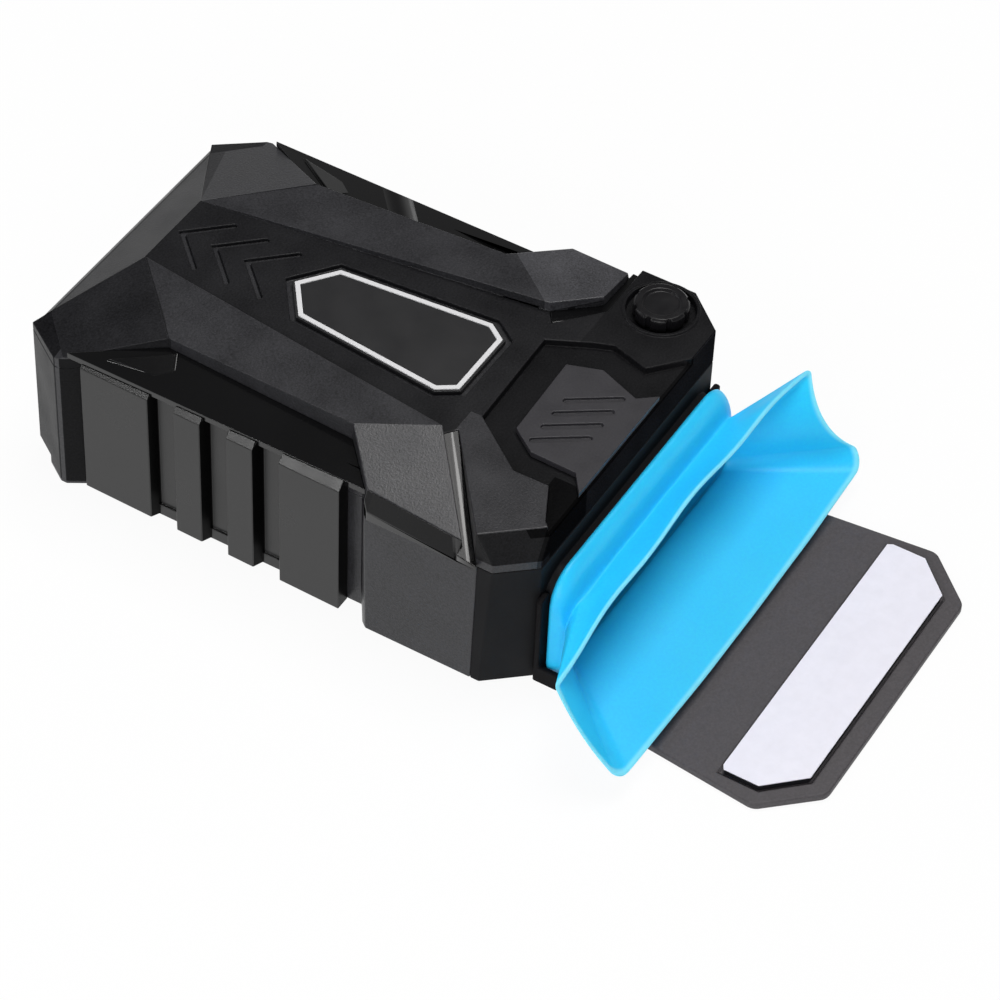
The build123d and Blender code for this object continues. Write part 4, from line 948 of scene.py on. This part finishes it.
class COOLINGFAN_OT_pad(bpy.types.Operator):
    """Builds the foam pad and the release paper on it"""

    bl_idname = "coolingfan.pad"
    bl_label = "Build the pad"

    def execute(self, context):
        pad = context.scene.fan_pad
        finish = context.scene.fan_finish
        corners = plan_corners("pad_liner", PAD_HIGH.z)

        def cockled(p):
            """Lift of the paper's waves, which are shifted down to stay about the frame's own top."""
            return pad.cockle * (noise.noise(Vector((p.x, p.y, 0)) / pad.cockle_size) - 0.5)

        paper = slab("pad_release_paper", rounded_plan(corners, 0.0, pad.corner), PAD_LOW.z, PAD_HIGH.z,
                     pad.grid, liner_material(finish), cockled)
        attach(paper, "bracket")
        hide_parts("pad_liner")
        # The foam's top is flat, so its grid is twice as wide
        foam = slab("pad_foam_tape", rounded_plan(corners, pad.foam_inset, pad.corner), FOAM_LOW.z,
                    FOAM_HIGH.z, 2 * pad.grid, foam_material(finish))
        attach(foam, "bracket")
        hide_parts("pad_foam")
        return {"FINISHED"}


def softbox(name, place, aim, width, height, power, colour):
    """A rectangular studio lamp that faces a point."""
    data = bpy.data.lights.new(name, "AREA")
    data.shape = "RECTANGLE"
    data.size = width
    data.size_y = height
    data.energy = power
    data.color = colour
    lamp = bpy.data.objects.new(name, data)
    lamp.location = place
    lamp.rotation_mode = "QUATERNION"
    lamp.rotation_quaternion = (Vector(aim) - Vector(place)).to_track_quat("-Z", "Y")
    bpy.context.scene.collection.objects.link(lamp)
    return lamp


def paper_material(stage):
    # Matt white backdrop paper: the lens sees most of its own white, and the object's shadow stays.
    material, tree, output = empty_material("white_backdrop_paper")
    path = add_node(tree, "ShaderNodeLightPath")
    first = add_node(tree, "ShaderNodeMath", {"operation": "MAXIMUM"},
                     links={0: path.outputs["Is Camera Ray"], 1: path.outputs["Is Glossy Ray"]})
    second = add_node(tree, "ShaderNodeMath", {"operation": "MAXIMUM"},
                      links={0: first.outputs[0], 1: path.outputs["Is Transmission Ray"]})
    share = add_node(tree, "ShaderNodeMath", {"operation": "MULTIPLY"}, {1: stage.paper_lift},
                     {0: second.outputs[0]})
    matt = add_node(tree, "ShaderNodeBsdfDiffuse", values={"Color": rgba(stage.paper)})
    white = add_node(tree, "ShaderNodeEmission", values={"Color": (1, 1, 1, 1), "Strength": 1.0})
    mix = add_node(tree, "ShaderNodeMixShader",
                   links={0: share.outputs[0], 1: matt.outputs[0], 2: white.outputs[0]})
    tree.links.new(mix.outputs[0], output.inputs["Surface"])
    return material


def studio_world(stage):
    """A light horizon like a white sweep and a dim ceiling above it, white to the lens."""
    world = bpy.data.worlds.new("studio")
    world.use_nodes = True
    tree = world.node_tree
    tree.nodes.clear()
    path = add_node(tree, "ShaderNodeLightPath")
    towards = add_node(tree, "ShaderNodeTexCoord").outputs["Generated"]
    height = add_node(tree, "ShaderNodeSeparateXYZ", links={0: towards}).outputs[2]
    fall = add_node(tree, "ShaderNodeMapRange", {"interpolation_type": "SMOOTHSTEP"},
                    {"From Min": SWEEP_RISE[0], "From Max": SWEEP_RISE[1],
                     "To Min": stage.horizon, "To Max": stage.ceiling}, {"Value": height})
    dim = add_node(tree, "ShaderNodeBackground", values={"Color": (1, 1, 1, 1)},
                   links={"Strength": fall.outputs[0]})
    white = add_node(tree, "ShaderNodeBackground", values={"Color": (1, 1, 1, 1), "Strength": 1.0})
    mix = add_node(tree, "ShaderNodeMixShader",
                   links={0: path.outputs["Is Camera Ray"], 1: dim.outputs[0], 2: white.outputs[0]})
    output = tree.nodes.new("ShaderNodeOutputWorld")
    tree.links.new(mix.outputs[0], output.inputs["Surface"])
    bpy.context.scene.world = world


# Studio lamps: name, place, aim, width, height in metres, power in watts, colour
LAMPS = (
    ("near_softbox", (-0.70, -0.32, 0.40), (0, 0.02, 0.02), 0.40, 0.40, 2.8, (1.0, 1.0, 1.0)),
    ("top_softbox", (0.20, -0.02, 0.92), (0, 0.02, 0.02), 0.50, 0.50, 6.1, (1.0, 0.99, 0.98)),
    ("left_kicker", (-0.66, 0.31, 0.50), (0, 0.04, 0.03), 0.12, 0.12, 0.9, (1.0, 1.0, 1.0)),
    ("rear_strip", (-0.27, 0.70, 0.50), (0, 0.05, 0.03), 0.10, 0.50, 0.8, (0.97, 0.98, 1.0)),
)


class COOLINGFAN_OT_stage(bpy.types.Operator):
    """Sets the backdrop, the lamps and the camera"""

    bl_idname = "coolingfan.stage"
    bl_label = "Set the stage"

    def execute(self, context):
        stage = context.scene.fan_stage
        scene = context.scene
        studio_world(stage)
        far = stage.paper_reach
        floor = mesh_object("floor_paper", [(-far, -far, 0), (far, -far, 0), (far, far, 0), (-far, far, 0)],
                            [(0, 1, 2, 3)], paper_material(stage), smooth=False)
        for lamp in LAMPS:
            softbox(*lamp)

        turn, rise = stage.azimuth, stage.elevation
        back = Vector((math.sin(turn) * math.cos(rise), -math.cos(turn) * math.cos(rise), math.sin(rise)))
        level = Vector((math.cos(turn), math.sin(turn), 0))
        upright = back.cross(level)
        right = level * math.cos(stage.roll) + upright * math.sin(stage.roll)
        up = upright * math.cos(stage.roll) - level * math.sin(stage.roll)
        data = bpy.data.cameras.new("camera")
        data.sensor_width = SENSOR_WIDTH
        data.lens = stage.lens
        data.clip_start, data.clip_end = CLIPS
        camera = bpy.data.objects.new("camera", data)
        place = Vector((0, 0, stage.target_height)) + back * stage.distance
        camera.matrix_world = Matrix.Translation(place) @ Matrix((right, up, back)).transposed().to_4x4()
        scene.collection.objects.link(camera)
        scene.camera = camera
        scene.view_settings.view_transform = "Standard"
        return {"FINISHED"}


class COOLINGFAN_PT_panel(bpy.types.Panel):
    """Lists the steps and their values"""

    bl_idname = "COOLINGFAN_PT_panel"
    bl_label = "Cooling Fan"
    bl_space_type = "VIEW_3D"
    bl_region_type = "UI"
    bl_category = "Cooling Fan"

    def draw(self, context):
        for operator, group in STEPS:
            self.layout.operator(operator.bl_idname)
            values = getattr(context.scene, group)
            for name in values.bl_rna.properties.keys():
                if name not in ("rna_type", "name"):
                    self.layout.prop(values, name)


STEPS = (
    (COOLINGFAN_OT_finish, "fan_finish"),
    (COOLINGFAN_OT_hood, "fan_hood"),
    (COOLINGFAN_OT_pad, "fan_pad"),
    (COOLINGFAN_OT_stage, "fan_stage"),
)
GROUPS = (("fan_finish", FanFinish), ("fan_hood", HoodShape), ("fan_pad", PadShape),
          ("fan_stage", FanStage))
CLASSES = (FanFinish, HoodShape, PadShape, FanStage, COOLINGFAN_OT_finish, COOLINGFAN_OT_hood,
           COOLINGFAN_OT_pad, COOLINGFAN_OT_stage, COOLINGFAN_PT_panel)


def register():
    """Registers the classes and gives the scene their values."""
    for each in CLASSES:
        bpy.utils.register_class(each)
    for name, group in GROUPS:
        setattr(bpy.types.Scene, name, PointerProperty(type=group))


def unregister():
    """Takes away what register added."""
    for name, _ in GROUPS:
        delattr(bpy.types.Scene, name)
    for each in reversed(CLASSES):
        bpy.utils.unregister_class(each)


def main():
    """Dresses the frame."""
    register()
    bpy.ops.coolingfan.finish()
    bpy.ops.coolingfan.hood()
    bpy.ops.coolingfan.pad()
    bpy.ops.coolingfan.stage()


if __name__ == "__main__":
    main()
